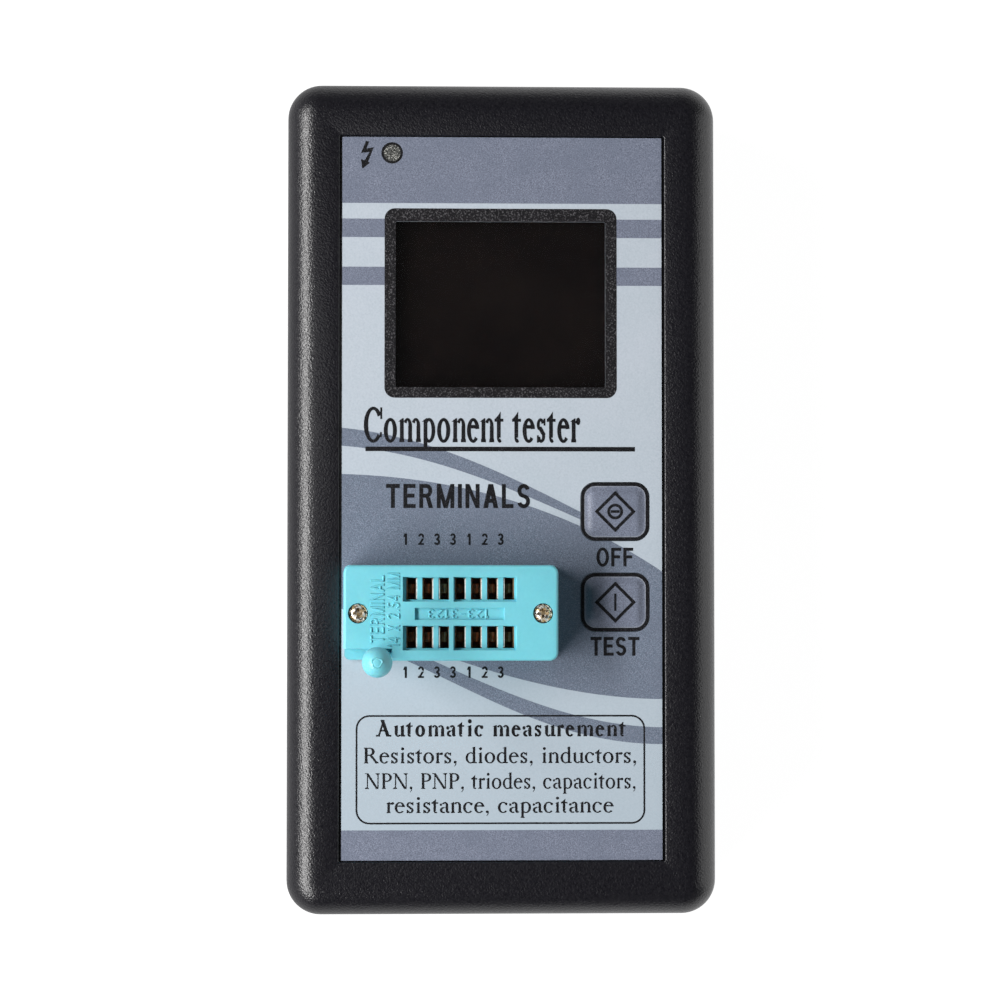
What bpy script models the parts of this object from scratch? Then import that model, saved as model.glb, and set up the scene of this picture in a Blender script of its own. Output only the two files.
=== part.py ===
"""Component tester: a flat hand-held case with a display, two keys and a lever-worked test socket.

The origin is the centre of the back face. +X is right, +Y is up the front face towards the display,
and +Z comes out of the front face. Dimensions are in millimetres and are turned into metres when a
mesh or a location is made. Pieces that sit on or in each other keep a small gap.
"""
import math

import bmesh
import bpy

MM = 0.001

# Case: two moulded shells that meet at the parting height.
CASE_WIDTH = 68.9
CASE_LENGTH = 133.5
CASE_DEPTH = 25.0
CASE_CORNER = 5.5
FRONT_EDGE_RADIUS = 5.0
BACK_EDGE_RADIUS = 2.5
WALL = 2.4
BACK_WALL = 2.2
PARTING = 12.5
FIT_GAP = 0.3
LIP_HEIGHT = 1.3
LIP_INSET = 1.5
CORNER_STEPS = 7
EDGE_STEPS = 8

# Front panel: a recess for the film, on a thin wall above the circuit board.
RECESS_WIDTH = 52.0
RECESS_LENGTH = 116.0
RECESS_CORNER = 0.3
RECESS_FLOOR = 24.0
PANEL_UNDERSIDE = 22.6
FILM_BOTTOM = 24.1
FILM_TOP = 24.55
FILM_SIZE = (51.2, 115.6)
FILM_SOCKET_GAP = 0.15

# Display, keys and charge lamp.
DISPLAY_CENTRE = (-0.25, 30.94)
WINDOW_SIZE = (33.6, 26.6)
DISPLAY_APERTURE = (36.0, 29.0)
DISPLAY_PANEL_SIZE = (44.2, 31.8)
DISPLAY_FRAME_SIZE = (46.6, 34.2)
KEY_SIZE = (10.9, 9.27)
KEY_CORNER = 2.3
KEY_CENTRES = {"off": (18.08, -2.25), "test": (18.08, -16.74)}
KEY_RAISE = 0.4
SWITCH_BODY = 6.0
SWITCH_TOP = 23.2
PLUNGER_RADIUS = 1.7
PLUNGER_TOP = 23.75
LAMP_CENTRE = (-17.63, 55.24)
LAMP_RADIUS = 1.5

# Circuit board, screwed to the front shell from behind.
BOARD_BOTTOM = 18.4
BOARD_TOP = 20.0
BOARD_HALF_WIDTH = 31.2
BOARD_Y = (-46.0, 63.3)
BOARD_NOTCH = (7.0, 7.0)
BOARD_SCREWS = [(29.0, 49.0), (-29.0, 49.0), (-29.0, -42.0), (29.0, -42.0)]
CASE_SCREWS = [(28.6, 60.9), (-28.6, 60.9), (-28.6, -60.9), (28.6, -60.9)]
USB_CENTRE = (-17.6, 62.15, 16.95)
USB_SIZE = (7.5, 5.8, 2.5)

# Test socket: body, cover, sliding plate, lever and two rows of fork contacts.
SOCKET_CENTRE = (-8.27, -18.38)
SOCKET_SIZE = (33.7, 15.0)
SOCKET_CORNER = 0.9
SOCKET_OPENING_GAP = 0.3
SOCKET_BOTTOM = 20.3
SOCKET_SPLIT = 29.3
SOCKET_TOP = 32.8
SOCKET_COVER_BOTTOM = 29.4
PIN_PITCH = 2.54
PINS_PER_ROW = 7
PIN_MIDDLE_X = -6.80
ROW_MIDDLE_Y = -18.49
ROW_OFFSET = 3.81
WINDOW_SPANS = [(-15.81, -8.57), (-7.87, 2.03)]
WINDOW_HALF_HEIGHT = 1.93
WINDOW_FLOOR = 31.8
SLOT_HALF_WIDTH = 0.87
LEAF_THICKNESS = 0.25
CONTACT_HALF_WIDTH = 0.85
CONTACT_TOP = 31.3
NOTCH_RIGHT = -17.5
NOTCH_TOP_Y = -23.97
NOTCH_FLOOR = 25.3
SOCKET_SCREWS = {"left": (-22.81, -18.45), "right": (6.19, -18.45)}
LEVER_AXIS = (-19.7, 28.0)
LEVER_SHAFT_RADIUS = 1.1
CAM_RADIUS = 1.4
CAM_OFFSET = 0.25
SLIDER_TRAVEL = 0.35
LEVER_PLANE_Y = (-25.7, -24.27)
KNOB_CENTRE_Y = -25.85
KNOB_RADIUS = 2.35
LEVER_HEIGHT = 18.1

# Battery compartment in the rear shell, and its sliding door.
CELL_RADIUS = 7.0
CELL_AXIS_Z = 9.4
CELL_Y = (-56.0, -7.0)
BAY_HALF_WIDTH = 8.2
BAY_Y = (-63.0, -4.6)
BAY_CEILING = 16.8
DOOR_Y_END = -4.5
DOOR_PLATE_HALF = 10.8
DOOR_FLANGE_HALF = 12.3
DOOR_BOTTOM = 0.15
DOOR_STEP = 1.2
DOOR_TOP = 2.2

BLACK_ABS = ((31, 30, 34), 0.55, 0.0)
FILM_BLUE = ((190, 200, 211), 0.4, 0.0)
CLEAR = ((24, 22, 23), 0.08, 0.0)
TEAL = ((116, 208, 219), 0.35, 0.0)
STEEL = ((190, 188, 184), 0.25, 1.0)
BRASS = ((196, 178, 150), 0.3, 1.0)
BOARD_GREEN = ((24, 84, 52), 0.5, 0.0)
CHIP_BLACK = ((28, 28, 30), 0.6, 0.0)
WHITE_PLASTIC = ((214, 214, 208), 0.5, 0.0)
PANEL_DARK = ((22, 20, 20), 0.1, 0.0)
AMBER_FLEX = ((176, 112, 42), 0.4, 0.0)
CELL_BLUE = ((46, 92, 150), 0.4, 0.0)


# ---------------------------------------------------------------- helpers

def clear_scene():
    for item in list(bpy.data.objects):
        bpy.data.objects.remove(item, do_unlink=True)


def linear(channel):
    """One 0..255 display colour channel as a linear value."""
    value = channel / 255.0
    if value <= 0.04045:
        return value / 12.92
    return ((value + 0.055) / 1.055) ** 2.4


def add_material(item, finish):
    """Give an object its own Principled material."""
    colour, roughness, metallic = finish
    material = bpy.data.materials.new(item.name)
    material.use_nodes = True
    shader = material.node_tree.nodes["Principled BSDF"]
    shader.inputs["Base Color"].default_value = (*[linear(c) for c in colour], 1.0)
    shader.inputs["Roughness"].default_value = roughness
    shader.inputs["Metallic"].default_value = metallic
    item.data.materials.append(material)


def object_from(name, mesh_builder, place, finish=None, smooth=True):
    """Link a new object whose mesh is the given bmesh, at a location in millimetres."""
    bmesh.ops.recalc_face_normals(mesh_builder, faces=mesh_builder.faces)
    mesh = bpy.data.meshes.new(name)
    mesh_builder.to_mesh(mesh)
    mesh_builder.free()
    if smooth:
        mesh.shade_smooth()
        mesh.set_sharp_from_angle(angle=math.radians(35))
    item = bpy.data.objects.new(name, mesh)
    bpy.context.scene.collection.objects.link(item)
    item.location = [value * MM for value in place]
    if finish:
        add_material(item, finish)
    return item


def loft(name, rings, place=(0, 0, 0), finish=None):
    """A closed solid through rings of points, which all have the same count."""
    builder = bmesh.new()
    rows = [[builder.verts.new([v * MM for v in point]) for point in ring] for ring in rings]
    count = len(rings[0])
    for low, high in zip(rows, rows[1:]):
        for i in range(count):
            j = (i + 1) % count
            builder.faces.new((low[i], low[j], high[j], high[i]))
    builder.faces.new(list(reversed(rows[0])))
    builder.faces.new(rows[-1])
    return object_from(name, builder, place, finish)


def rounded_ring(size, radius, z, steps=CORNER_STEPS):
    """A rounded rectangle about the local origin at one height, counter-clockwise."""
    points = []
    signs = [(1, 1), (-1, 1), (-1, -1), (1, -1)]
    for corner, (sign_x, sign_y) in enumerate(signs):
        centre_x = sign_x * (size[0] / 2 - radius)
        centre_y = sign_y * (size[1] / 2 - radius)
        for step in range(steps + 1):
            angle = math.pi / 2 * (corner + step / steps)
            points.append((centre_x + radius * math.cos(angle),
                           centre_y + radius * math.sin(angle), z))
    return points


def rounded_plate(name, size, radius, z_span, centre, finish=None, steps=CORNER_STEPS):
    """A flat plate with rounded corners between two heights."""
    height = z_span[1] - z_span[0]
    rings = [rounded_ring(size, radius, z, steps) for z in (0.0, height)]
    return loft(name, rings, (centre[0], centre[1], z_span[0]), finish)


def block(name, low, high, finish=None):
    """A rectangular block between two corners, with its origin at its centre."""
    half = [(b - a) / 2 for a, b in zip(low, high)]
    centre = [(a + b) / 2 for a, b in zip(low, high)]
    corners = [(half[0], half[1]), (-half[0], half[1]), (-half[0], -half[1]), (half[0], -half[1])]
    rings = [[(x, y, z) for x, y in corners] for z in (-half[2], half[2])]
    return loft(name, rings, centre, finish)


def prism(name, outline, axis, span, place=(0, 0, 0), finish=None):
    """An outline of (a, b) points drawn square to an axis and extruded along it."""
    order = {"X": lambda a, b, c: (c, a, b), "Y": lambda a, b, c: (a, c, b),
             "Z": lambda a, b, c: (a, b, c)}[axis]
    rings = [[order(a, b, c) for a, b in outline] for c in span]
    return loft(name, rings, place, finish)


def circle(radius, steps, centre=(0.0, 0.0)):
    """Outline of a circle."""
    turn = 2 * math.pi / steps
    return [(centre[0] + radius * math.cos(turn * i), centre[1] + radius * math.sin(turn * i))
            for i in range(steps)]


def rod(name, radius, z_span, centre, finish=None, steps=20):
    """An upright cylinder."""
    height = z_span[1] - z_span[0]
    place = (centre[0], centre[1], z_span[0])
    return prism(name, circle(radius, steps), "Z", (0.0, height), place, finish)


def turned(name, profile, place, finish=None, steps=24):
    """A solid of revolution about the local Z axis, from (radius, height) points, bottom to top."""
    rings = [[(x, y, z) for x, y in circle(radius, steps)] for radius, z in profile]
    return loft(name, rings, place, finish)


def combine(target, operation, tools):
    """Boolean each tool into the target and keep the tools as wire guides."""
    for tool in tools:
        tool.hide_render = True
        tool.display_type = "WIRE"
        modifier = target.modifiers.new(tool.name, "BOOLEAN")
        modifier.operation = operation
        modifier.solver = "EXACT"
        modifier.object = tool


def cut(target, *tools):
    combine(target, "DIFFERENCE", tools)


def fuse(target, *tools):
    combine(target, "UNION", tools)


def offset_ring(inset, z):
    """The case's plan outline, moved in by an inset."""
    size = (CASE_WIDTH - 2 * inset, CASE_LENGTH - 2 * inset)
    return rounded_ring(size, max(CASE_CORNER - inset, 0.5), z)


def pin_x(index):
    """Centre of a contact slot, counted from 1 at the left."""
    return PIN_MIDDLE_X + PIN_PITCH * (index - (PINS_PER_ROW + 1) / 2)


def row_ys():
    return {"upper": ROW_MIDDLE_Y + ROW_OFFSET, "lower": ROW_MIDDLE_Y - ROW_OFFSET}


# ---------------------------------------------------------------- case shells

def front_case():
    """Front shell: rounded front edge, film recess, openings, bosses and a rabbet for the lip."""
    rings = [offset_ring(0.0, PARTING + 0.1)]
    for step in range(EDGE_STEPS + 1):
        angle = math.pi / 2 * step / EDGE_STEPS
        inset = FRONT_EDGE_RADIUS * (1 - math.cos(angle))
        rings.append(offset_ring(inset, CASE_DEPTH - FRONT_EDGE_RADIUS * (1 - math.sin(angle))))
    shell = loft("front_case", rings, finish=BLACK_ABS)
    cut(shell, loft("front_cavity", [offset_ring(WALL, PARTING - 1), offset_ring(WALL, PANEL_UNDERSIDE)]))
    bosses = [rod(f"front_boss_{i}", 3.0, (14.0, PANEL_UNDERSIDE + 0.4), xy)
              for i, xy in enumerate(CASE_SCREWS)]
    bosses += [rod(f"board_boss_{i}", 2.6, (BOARD_TOP + FIT_GAP, PANEL_UNDERSIDE + 0.4), xy)
               for i, xy in enumerate(BOARD_SCREWS)]
    fuse(shell, *bosses)
    rabbet_top = PARTING + LIP_HEIGHT + FIT_GAP
    rabbet_inset = LIP_INSET - FIT_GAP
    rabbet = [offset_ring(rabbet_inset, PARTING - 1), offset_ring(rabbet_inset, rabbet_top)]
    cut(shell, loft("lip_rabbet", rabbet))
    cut(shell, rounded_plate("film_recess", (RECESS_WIDTH, RECESS_LENGTH), RECESS_CORNER,
                             (RECESS_FLOOR, CASE_DEPTH + 1), (0, 0), steps=2))
    through = (PANEL_UNDERSIDE - 1, RECESS_FLOOR + 1)
    cut(shell, rounded_plate("display_aperture", DISPLAY_APERTURE, 0.5, through, DISPLAY_CENTRE))
    for name, centre in KEY_CENTRES.items():
        size = (KEY_SIZE[0] + 2 * FIT_GAP, KEY_SIZE[1] + 2 * FIT_GAP)
        cut(shell, rounded_plate(name + "_key_hole", size, KEY_CORNER + FIT_GAP, through, centre))
    cut(shell, rod("lamp_hole", LAMP_RADIUS + FIT_GAP, through, LAMP_CENTRE))
    opening = [side + 2 * SOCKET_OPENING_GAP for side in SOCKET_SIZE]
    cut(shell, rounded_plate("socket_opening", opening, SOCKET_CORNER, through, SOCKET_CENTRE))
    for i, (x, y) in enumerate(CASE_SCREWS):
        cut(shell, rod(f"case_pilot_{i}", 1.5, (13.0, 21.0), (x, y), steps=12))
    for i, (x, y) in enumerate(BOARD_SCREWS):
        cut(shell, rod(f"board_pilot_{i}", 1.2, (19.0, 22.5), (x, y), steps=12))
    half = (USB_SIZE[0] / 2 + 0.5, USB_SIZE[2] / 2 + 0.5)
    cut(shell, block("usb_opening",
                     (USB_CENTRE[0] - half[0], CASE_LENGTH / 2 - WALL - 1, USB_CENTRE[2] - half[1]),
                     (USB_CENTRE[0] + half[0], CASE_LENGTH / 2 + 1, USB_CENTRE[2] + half[1])))
    return shell


def rear_case():
    """Rear shell: screw wells, a lip for the front shell and the battery compartment with rails."""
    rings = []
    for step in range(EDGE_STEPS + 1):
        angle = math.pi / 2 * step / EDGE_STEPS
        inset = BACK_EDGE_RADIUS * (1 - math.sin(angle))
        rings.append(offset_ring(inset, BACK_EDGE_RADIUS * (1 - math.cos(angle))))
    rings.append(offset_ring(0.0, PARTING))
    shell = loft("rear_case", rings, finish=BLACK_ABS)
    lip_top = PARTING + LIP_HEIGHT
    fuse(shell, loft("lip_block", [offset_ring(LIP_INSET, PARTING - 1), offset_ring(LIP_INSET, lip_top)]))
    cut(shell, loft("rear_cavity", [offset_ring(WALL, BACK_WALL), offset_ring(WALL, lip_top + 1)]))
    fuse(shell, *[rod(f"rear_boss_{i}", 3.3, (BACK_WALL - 0.5, 13.5), xy)
                  for i, xy in enumerate(CASE_SCREWS)])
    fuse(shell, block("rail_block", (-14.0, -CASE_LENGTH / 2 + 1.5, 1.0), (14.0, -2.4, 4.2)))
    bay_wall = 1.4
    fuse(shell, block("bay_block", (-BAY_HALF_WIDTH - bay_wall, BAY_Y[0] - 1.2, 3.8),
                      (BAY_HALF_WIDTH + bay_wall, BAY_Y[1] + 1.2, BAY_CEILING + 1.1)))
    cut(shell, block("bay_hollow", (-BAY_HALF_WIDTH, BAY_Y[0], 2.0),
                     (BAY_HALF_WIDTH, BAY_Y[1], BAY_CEILING)))
    slot_end = DOOR_Y_END + FIT_GAP
    plate_half = DOOR_PLATE_HALF + FIT_GAP
    flange_half = DOOR_FLANGE_HALF + FIT_GAP
    beyond = -CASE_LENGTH / 2 - 2
    cut(shell, block("door_opening", (-plate_half, beyond, -1.0), (plate_half, slot_end, 1.0)))
    cut(shell, block("door_groove", (-flange_half, beyond, DOOR_STEP - FIT_GAP),
                     (flange_half, slot_end, DOOR_TOP + FIT_GAP)))
    for i, (x, y) in enumerate(CASE_SCREWS):
        cut(shell, rod(f"screw_well_{i}", 2.7, (-1.0, 9.0), (x, y)))
        cut(shell, rod(f"screw_hole_{i}", 1.6, (8.0, 14.5), (x, y), steps=12))
    return shell


def battery_door():
    """Sliding door: a flush plate on a wider flange, its free end rounded like the case."""
    arc_centre = (-CASE_LENGTH / 2 + BACK_EDGE_RADIUS, BACK_EDGE_RADIUS)
    arc_radius = BACK_EDGE_RADIUS - DOOR_BOTTOM
    top_angle = math.asin((BACK_EDGE_RADIUS - DOOR_TOP) / arc_radius)
    outline = [(DOOR_Y_END, DOOR_TOP), (DOOR_Y_END, DOOR_BOTTOM)]
    for step in range(EDGE_STEPS + 1):
        angle = math.pi / 2 + (math.pi / 2 - top_angle) * step / EDGE_STEPS
        outline.append((arc_centre[0] + arc_radius * math.cos(angle),
                        arc_centre[1] - arc_radius * math.sin(angle)))
    door = prism("battery_door", outline, "X", (-DOOR_FLANGE_HALF, DOOR_FLANGE_HALF),
                 finish=BLACK_ABS)
    for side in (-1, 1):
        inner, outer = sorted((side * DOOR_PLATE_HALF, side * (DOOR_FLANGE_HALF + 1)))
        cut(door, block(f"door_step_{side}", (inner, -CASE_LENGTH / 2 - 1, -1.0),
                        (outer, DOOR_Y_END + 1, DOOR_STEP)))
    grip_y = -60.0
    for row in range(4):
        y = grip_y + 1.6 * row
        cut(door, block(f"door_grip_{row}", (-5.0, y, -1.0), (5.0, y + 0.7, 0.6)))
    return door


def battery_parts():
    """One cell, its coil spring and its contact plate."""
    z = CELL_AXIS_Z
    profile = [(CELL_RADIUS - 0.5, CELL_Y[0]), (CELL_RADIUS, CELL_Y[0] + 0.5),
               (CELL_RADIUS, CELL_Y[1] - 0.5), (CELL_RADIUS - 0.5, CELL_Y[1]),
               (2.75, CELL_Y[1]), (2.75, CELL_Y[1] + 1.0)]
    rings = [[(x, y, b) for x, b in circle(radius, 28)] for radius, y in profile]
    loft("battery_cell", rings, (0, 0, z), CELL_BLUE)
    block("battery_contact_plate", (-5.0, -5.5, z - 4.5), (5.0, -5.1, z + 4.5), STEEL)
    coil_spring("battery_spring", (-56.5, -62.4), (2.4, 5.2), 0.4, 3.5, z)


def coil_spring(name, y_span, radii, wire_radius, turns, z):
    """A conical coil of round wire about an axis along Y."""
    steps = int(turns * 14)
    sides = 6
    rings = []
    for i in range(steps + 1):
        part = i / steps
        angle = 2 * math.pi * turns * part
        radius = radii[0] + (radii[1] - radii[0]) * part
        start = y_span[0] - wire_radius
        end = y_span[1] + wire_radius
        y = start + (end - start) * part
        ring = []
        for a, b in circle(wire_radius, sides):
            reach = radius + a
            ring.append((reach * math.cos(angle), y + b, reach * math.sin(angle)))
        rings.append(ring)
    return loft(name, rings, (0, 0, z), STEEL)


# ---------------------------------------------------------------- film, display and keys

def overlay_film():
    """Printed film in the recess, open over the window, the keys and the socket."""
    film = rounded_plate("overlay_film", FILM_SIZE, RECESS_CORNER, (FILM_BOTTOM, FILM_TOP), (0, 0),
                         FILM_BLUE, steps=2)
    through = (FILM_BOTTOM - 1, FILM_TOP + 1)
    cut(film, rounded_plate("window_hole", WINDOW_SIZE, 0.2, through, DISPLAY_CENTRE, steps=2))
    for name, centre in KEY_CENTRES.items():
        size = (KEY_SIZE[0] + 0.2, KEY_SIZE[1] + 0.2)
        cut(film, rounded_plate(name + "_film_hole", size, KEY_CORNER + 0.1, through, centre))
    opening = [side + 2 * FILM_SOCKET_GAP for side in SOCKET_SIZE]
    cut(film, rounded_plate("socket_film_hole", opening, SOCKET_CORNER, through, SOCKET_CENTRE))


def display_parts():
    """Clear window pane, display glass in its tray, and the flat cable to the board."""
    pane = [side - 0.2 for side in WINDOW_SIZE]
    rounded_plate("display_window", pane, 0.2, (FILM_BOTTOM, FILM_TOP), DISPLAY_CENTRE, CLEAR, steps=2)
    tray = rounded_plate("display_frame", DISPLAY_FRAME_SIZE, 0.8, (BOARD_TOP + 0.2, 22.3),
                         DISPLAY_CENTRE, WHITE_PLASTIC, steps=3)
    pocket = [side + 0.4 for side in DISPLAY_PANEL_SIZE]
    cut(tray, rounded_plate("display_pocket", pocket, 0.4, (20.9, 23.0), DISPLAY_CENTRE, steps=2))
    rounded_plate("display_panel", DISPLAY_PANEL_SIZE, 0.4, (21.1, 22.2), DISPLAY_CENTRE,
                  PANEL_DARK, steps=2)
    start = DISPLAY_CENTRE[0] + DISPLAY_FRAME_SIZE[0] / 2 + 0.3
    top = [(start, 21.8), (start + 1.0, 21.7), (start + 2.6, 20.5), (start + 5.0, 20.4)]
    outline = top + [(x, z - 0.3) for x, z in reversed(top)]
    prism("display_flex", outline, "Y", (-7.5, 7.5), (0, DISPLAY_CENTRE[1], 0), AMBER_FLEX)


def key(name, centre):
    """One raised key area of the film and the push switch beneath it."""
    levels = [(0.0, 0.0), (FILM_TOP - FILM_BOTTOM, 0.0), (FILM_TOP - FILM_BOTTOM + 0.05, 0.5),
              (FILM_TOP - FILM_BOTTOM + KEY_RAISE, 0.95)]
    rings = []
    for z, inset in levels:
        size = (KEY_SIZE[0] - 2 * inset, KEY_SIZE[1] - 2 * inset)
        rings.append(rounded_ring(size, KEY_CORNER - inset, z))
    loft(name + "_key_pad", rings, (*centre, FILM_BOTTOM), FILM_BLUE)
    body = rounded_plate(name + "_switch_body", (SWITCH_BODY, SWITCH_BODY), 0.4,
                         (BOARD_TOP + 0.1, SWITCH_TOP), centre, CHIP_BLACK, steps=2)
    cut(body, rod(name + "_plunger_well", PLUNGER_RADIUS + 0.2, (20.5, 24.0), centre))
    stem = [(PLUNGER_RADIUS, 0.0), (PLUNGER_RADIUS, 2.65), (PLUNGER_RADIUS - 0.2, 2.85)]
    turned(name + "_switch_plunger", stem, (*centre, PLUNGER_TOP - 2.85), CHIP_BLACK, steps=20)


def charge_lamp():
    profile = [(LAMP_RADIUS, 0.0), (LAMP_RADIUS, 2.4), (1.3, 3.0), (0.8, 3.4), (0.3, 3.5)]
    turned("charge_led", profile, (*LAMP_CENTRE, BOARD_TOP + 0.1), WHITE_PLASTIC, steps=16)


# ---------------------------------------------------------------- circuit board

def main_pcb():
    """The board, notched round the case bosses, with screw holes and holes for the contacts."""
    low, high = BOARD_Y
    side = BOARD_HALF_WIDTH
    notch_x, notch_y = side - BOARD_NOTCH[0], high - BOARD_NOTCH[1]
    outline = [(-side, low), (side, low), (side, notch_y), (notch_x, notch_y), (notch_x, high),
               (-notch_x, high), (-notch_x, notch_y), (-side, notch_y)]
    board = prism("main_pcb", outline, "Z", (BOARD_BOTTOM, BOARD_TOP), finish=BOARD_GREEN)
    for i, (x, y) in enumerate(BOARD_SCREWS):
        cut(board, rod(f"board_hole_{i}", 1.5, (BOARD_BOTTOM - 1, BOARD_TOP + 1), (x, y), steps=16))
    for row, y in row_ys().items():
        for i in range(1, PINS_PER_ROW + 1):
            x = pin_x(i)
            cut(board, block(f"tail_hole_{row}_{i}", (x - 0.5, y - 0.5, BOARD_BOTTOM - 1),
                             (x + 0.5, y + 0.5, BOARD_TOP + 1)))


def board_components():
    """The larger electronic parts on the back of the board, and the charging socket."""
    face = BOARD_BOTTOM - 0.15
    chip_rings = [rounded_ring((w, w), 0.2, z, 2) for w, z in [(6.7, -1.4), (7.0, -0.7), (6.7, 0.0)]]
    chip = loft("microcontroller", chip_rings, (12.0, 28.0, face), CHIP_BLACK)
    cut(chip, rod("pin_one_mark", 0.5, (face - 2.0, face - 1.3), (9.8, 30.2), steps=12))
    rings = [rounded_ring(size, radius, z) for size, radius, z in
             [((10.4, 3.9), 1.9, -3.5), ((10.8, 4.3), 2.1, -3.2), ((10.8, 4.3), 2.1, -0.5),
              ((11.4, 4.9), 2.4, -0.5), ((11.4, 4.9), 2.4, 0.0)]]
    loft("crystal", rings, (12.0, 18.0, face), STEEL)
    can = [(2.9, -5.4), (3.15, -5.1), (3.15, -1.6), (2.9, -1.4), (2.9, -1.1), (3.15, -0.9), (3.15, 0.0)]
    turned("capacitor", can, (-10.0, 36.0, face), STEEL, steps=20)
    rounded_plate("charger_chip", (5.0, 4.0), 0.2, (face - 1.5, face), (-17.6, 48.0), CHIP_BLACK, 2)
    x, y, z = USB_CENTRE
    half = [side / 2 for side in USB_SIZE]
    outline = [(-half[0], half[2]), (-half[0], -0.2), (-half[0] + 1.0, -half[2]),
               (half[0] - 1.0, -half[2]), (half[0], -0.2), (half[0], half[2])]
    port = prism("usb_port", outline, "Y", (-half[1], half[1]), (x, y, z), STEEL)
    pocket = [(-half[0] + 0.3, half[2] - 0.3), (-half[0] + 0.3, -0.1), (-half[0] + 1.1, -half[2] + 0.3),
              (half[0] - 1.1, -half[2] + 0.3), (half[0] - 0.3, -0.1), (half[0] - 0.3, half[2] - 0.3)]
    cut(port, prism("usb_pocket", pocket, "Y", (-half[1] + 1.2, half[1] + 1.0), (x, y, z)))
    fuse(port, block("usb_tongue", (x - 1.9, y - half[1] + 0.8, z + 0.1),
                     (x + 1.9, y + half[1] - 0.6, z + 0.7)))


def cross_screw(name, head, shank, place, up, recess_depth):
    """A screw with a domed head and a cross recess. Head and shank are (radius, height)."""
    radius, height = head
    profile = [(shank[0] * 0.6, -shank[1]), (shank[0], -shank[1] + 0.8), (shank[0], 0.0),
               (radius, 0.0), (radius, height * 0.55), (radius * 0.82, height * 0.88),
               (radius * 0.45, height)]
    if not up:
        profile = [(r, -z) for r, z in reversed(profile)]
    screw = turned(name, profile, place, STEEL, steps=20)
    sign = 1 if up else -1
    x, y, z = place
    depths = sorted((z + sign * (height - recess_depth), z + sign * (height + 1)))
    arm, width = radius * 0.56, radius * 0.13
    for i, (dx, dy) in enumerate([(arm, width), (width, arm)]):
        cut(screw, block(f"{name}_recess_{i}", (x - dx, y - dy, depths[0]), (x + dx, y + dy, depths[1])))


def fasteners():
    """Four case screws in wells in the back, and four board screws."""
    for i, (x, y) in enumerate(CASE_SCREWS, start=1):
        cross_screw(f"case_screw_{i}", (2.35, 1.8), (1.15, 11.5), (x, y, 8.7), False, 1.0)
    for i, (x, y) in enumerate(BOARD_SCREWS, start=1):
        cross_screw(f"pcb_screw_{i}", (2.1, 1.2), (0.9, 3.6), (x, y, 18.2), False, 0.7)


# ---------------------------------------------------------------- test socket

def socket_base():
    """Socket body: contact trenches, slider cavity, cam chamber, lever notch and shaft seats."""
    base = rounded_plate("zif_base", SOCKET_SIZE, SOCKET_CORNER, (SOCKET_BOTTOM, SOCKET_SPLIT),
                         SOCKET_CENTRE, TEAL)
    above = SOCKET_SPLIT + 1
    for row, y in row_ys().items():
        cut(base, block(f"trench_{row}", (pin_x(1) - 1.15, y - 1.75, SOCKET_BOTTOM - 1),
                        (pin_x(PINS_PER_ROW) + 1.15, y + 1.75, 27.0)))
    cut(base, block("slider_cavity", (-17.0, -25.2, 26.8), (3.6, -11.7, above)))
    cut(base, block("slider_neck", (-18.7, -23.4, 26.8), (-16.5, -13.4, above)))
    cut(base, block("cam_chamber", (-21.45, -23.4, 25.9), (-18.0, -13.4, above)))
    cut(base, block("lever_notch", (-27.0, -27.0, NOTCH_FLOOR), (NOTCH_RIGHT, NOTCH_TOP_Y, above)))
    seat_radius = LEVER_SHAFT_RADIUS + 0.15
    for i, span in enumerate([(-24.6, -23.0), (-13.8, -11.9)]):
        seat = prism(f"shaft_seat_{i}", circle(seat_radius, 20), "Y", span, (LEVER_AXIS[0], 0, LEVER_AXIS[1]))
        mouth = block(f"seat_mouth_{i}", (LEVER_AXIS[0] - seat_radius, span[0], LEVER_AXIS[1]),
                      (LEVER_AXIS[0] + seat_radius, span[1], above))
        cut(base, seat, mouth)
    for side, xy in SOCKET_SCREWS.items():
        cut(base, rod(f"base_screw_hole_{side}", 0.95, (22.0, above), xy, steps=12))


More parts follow.
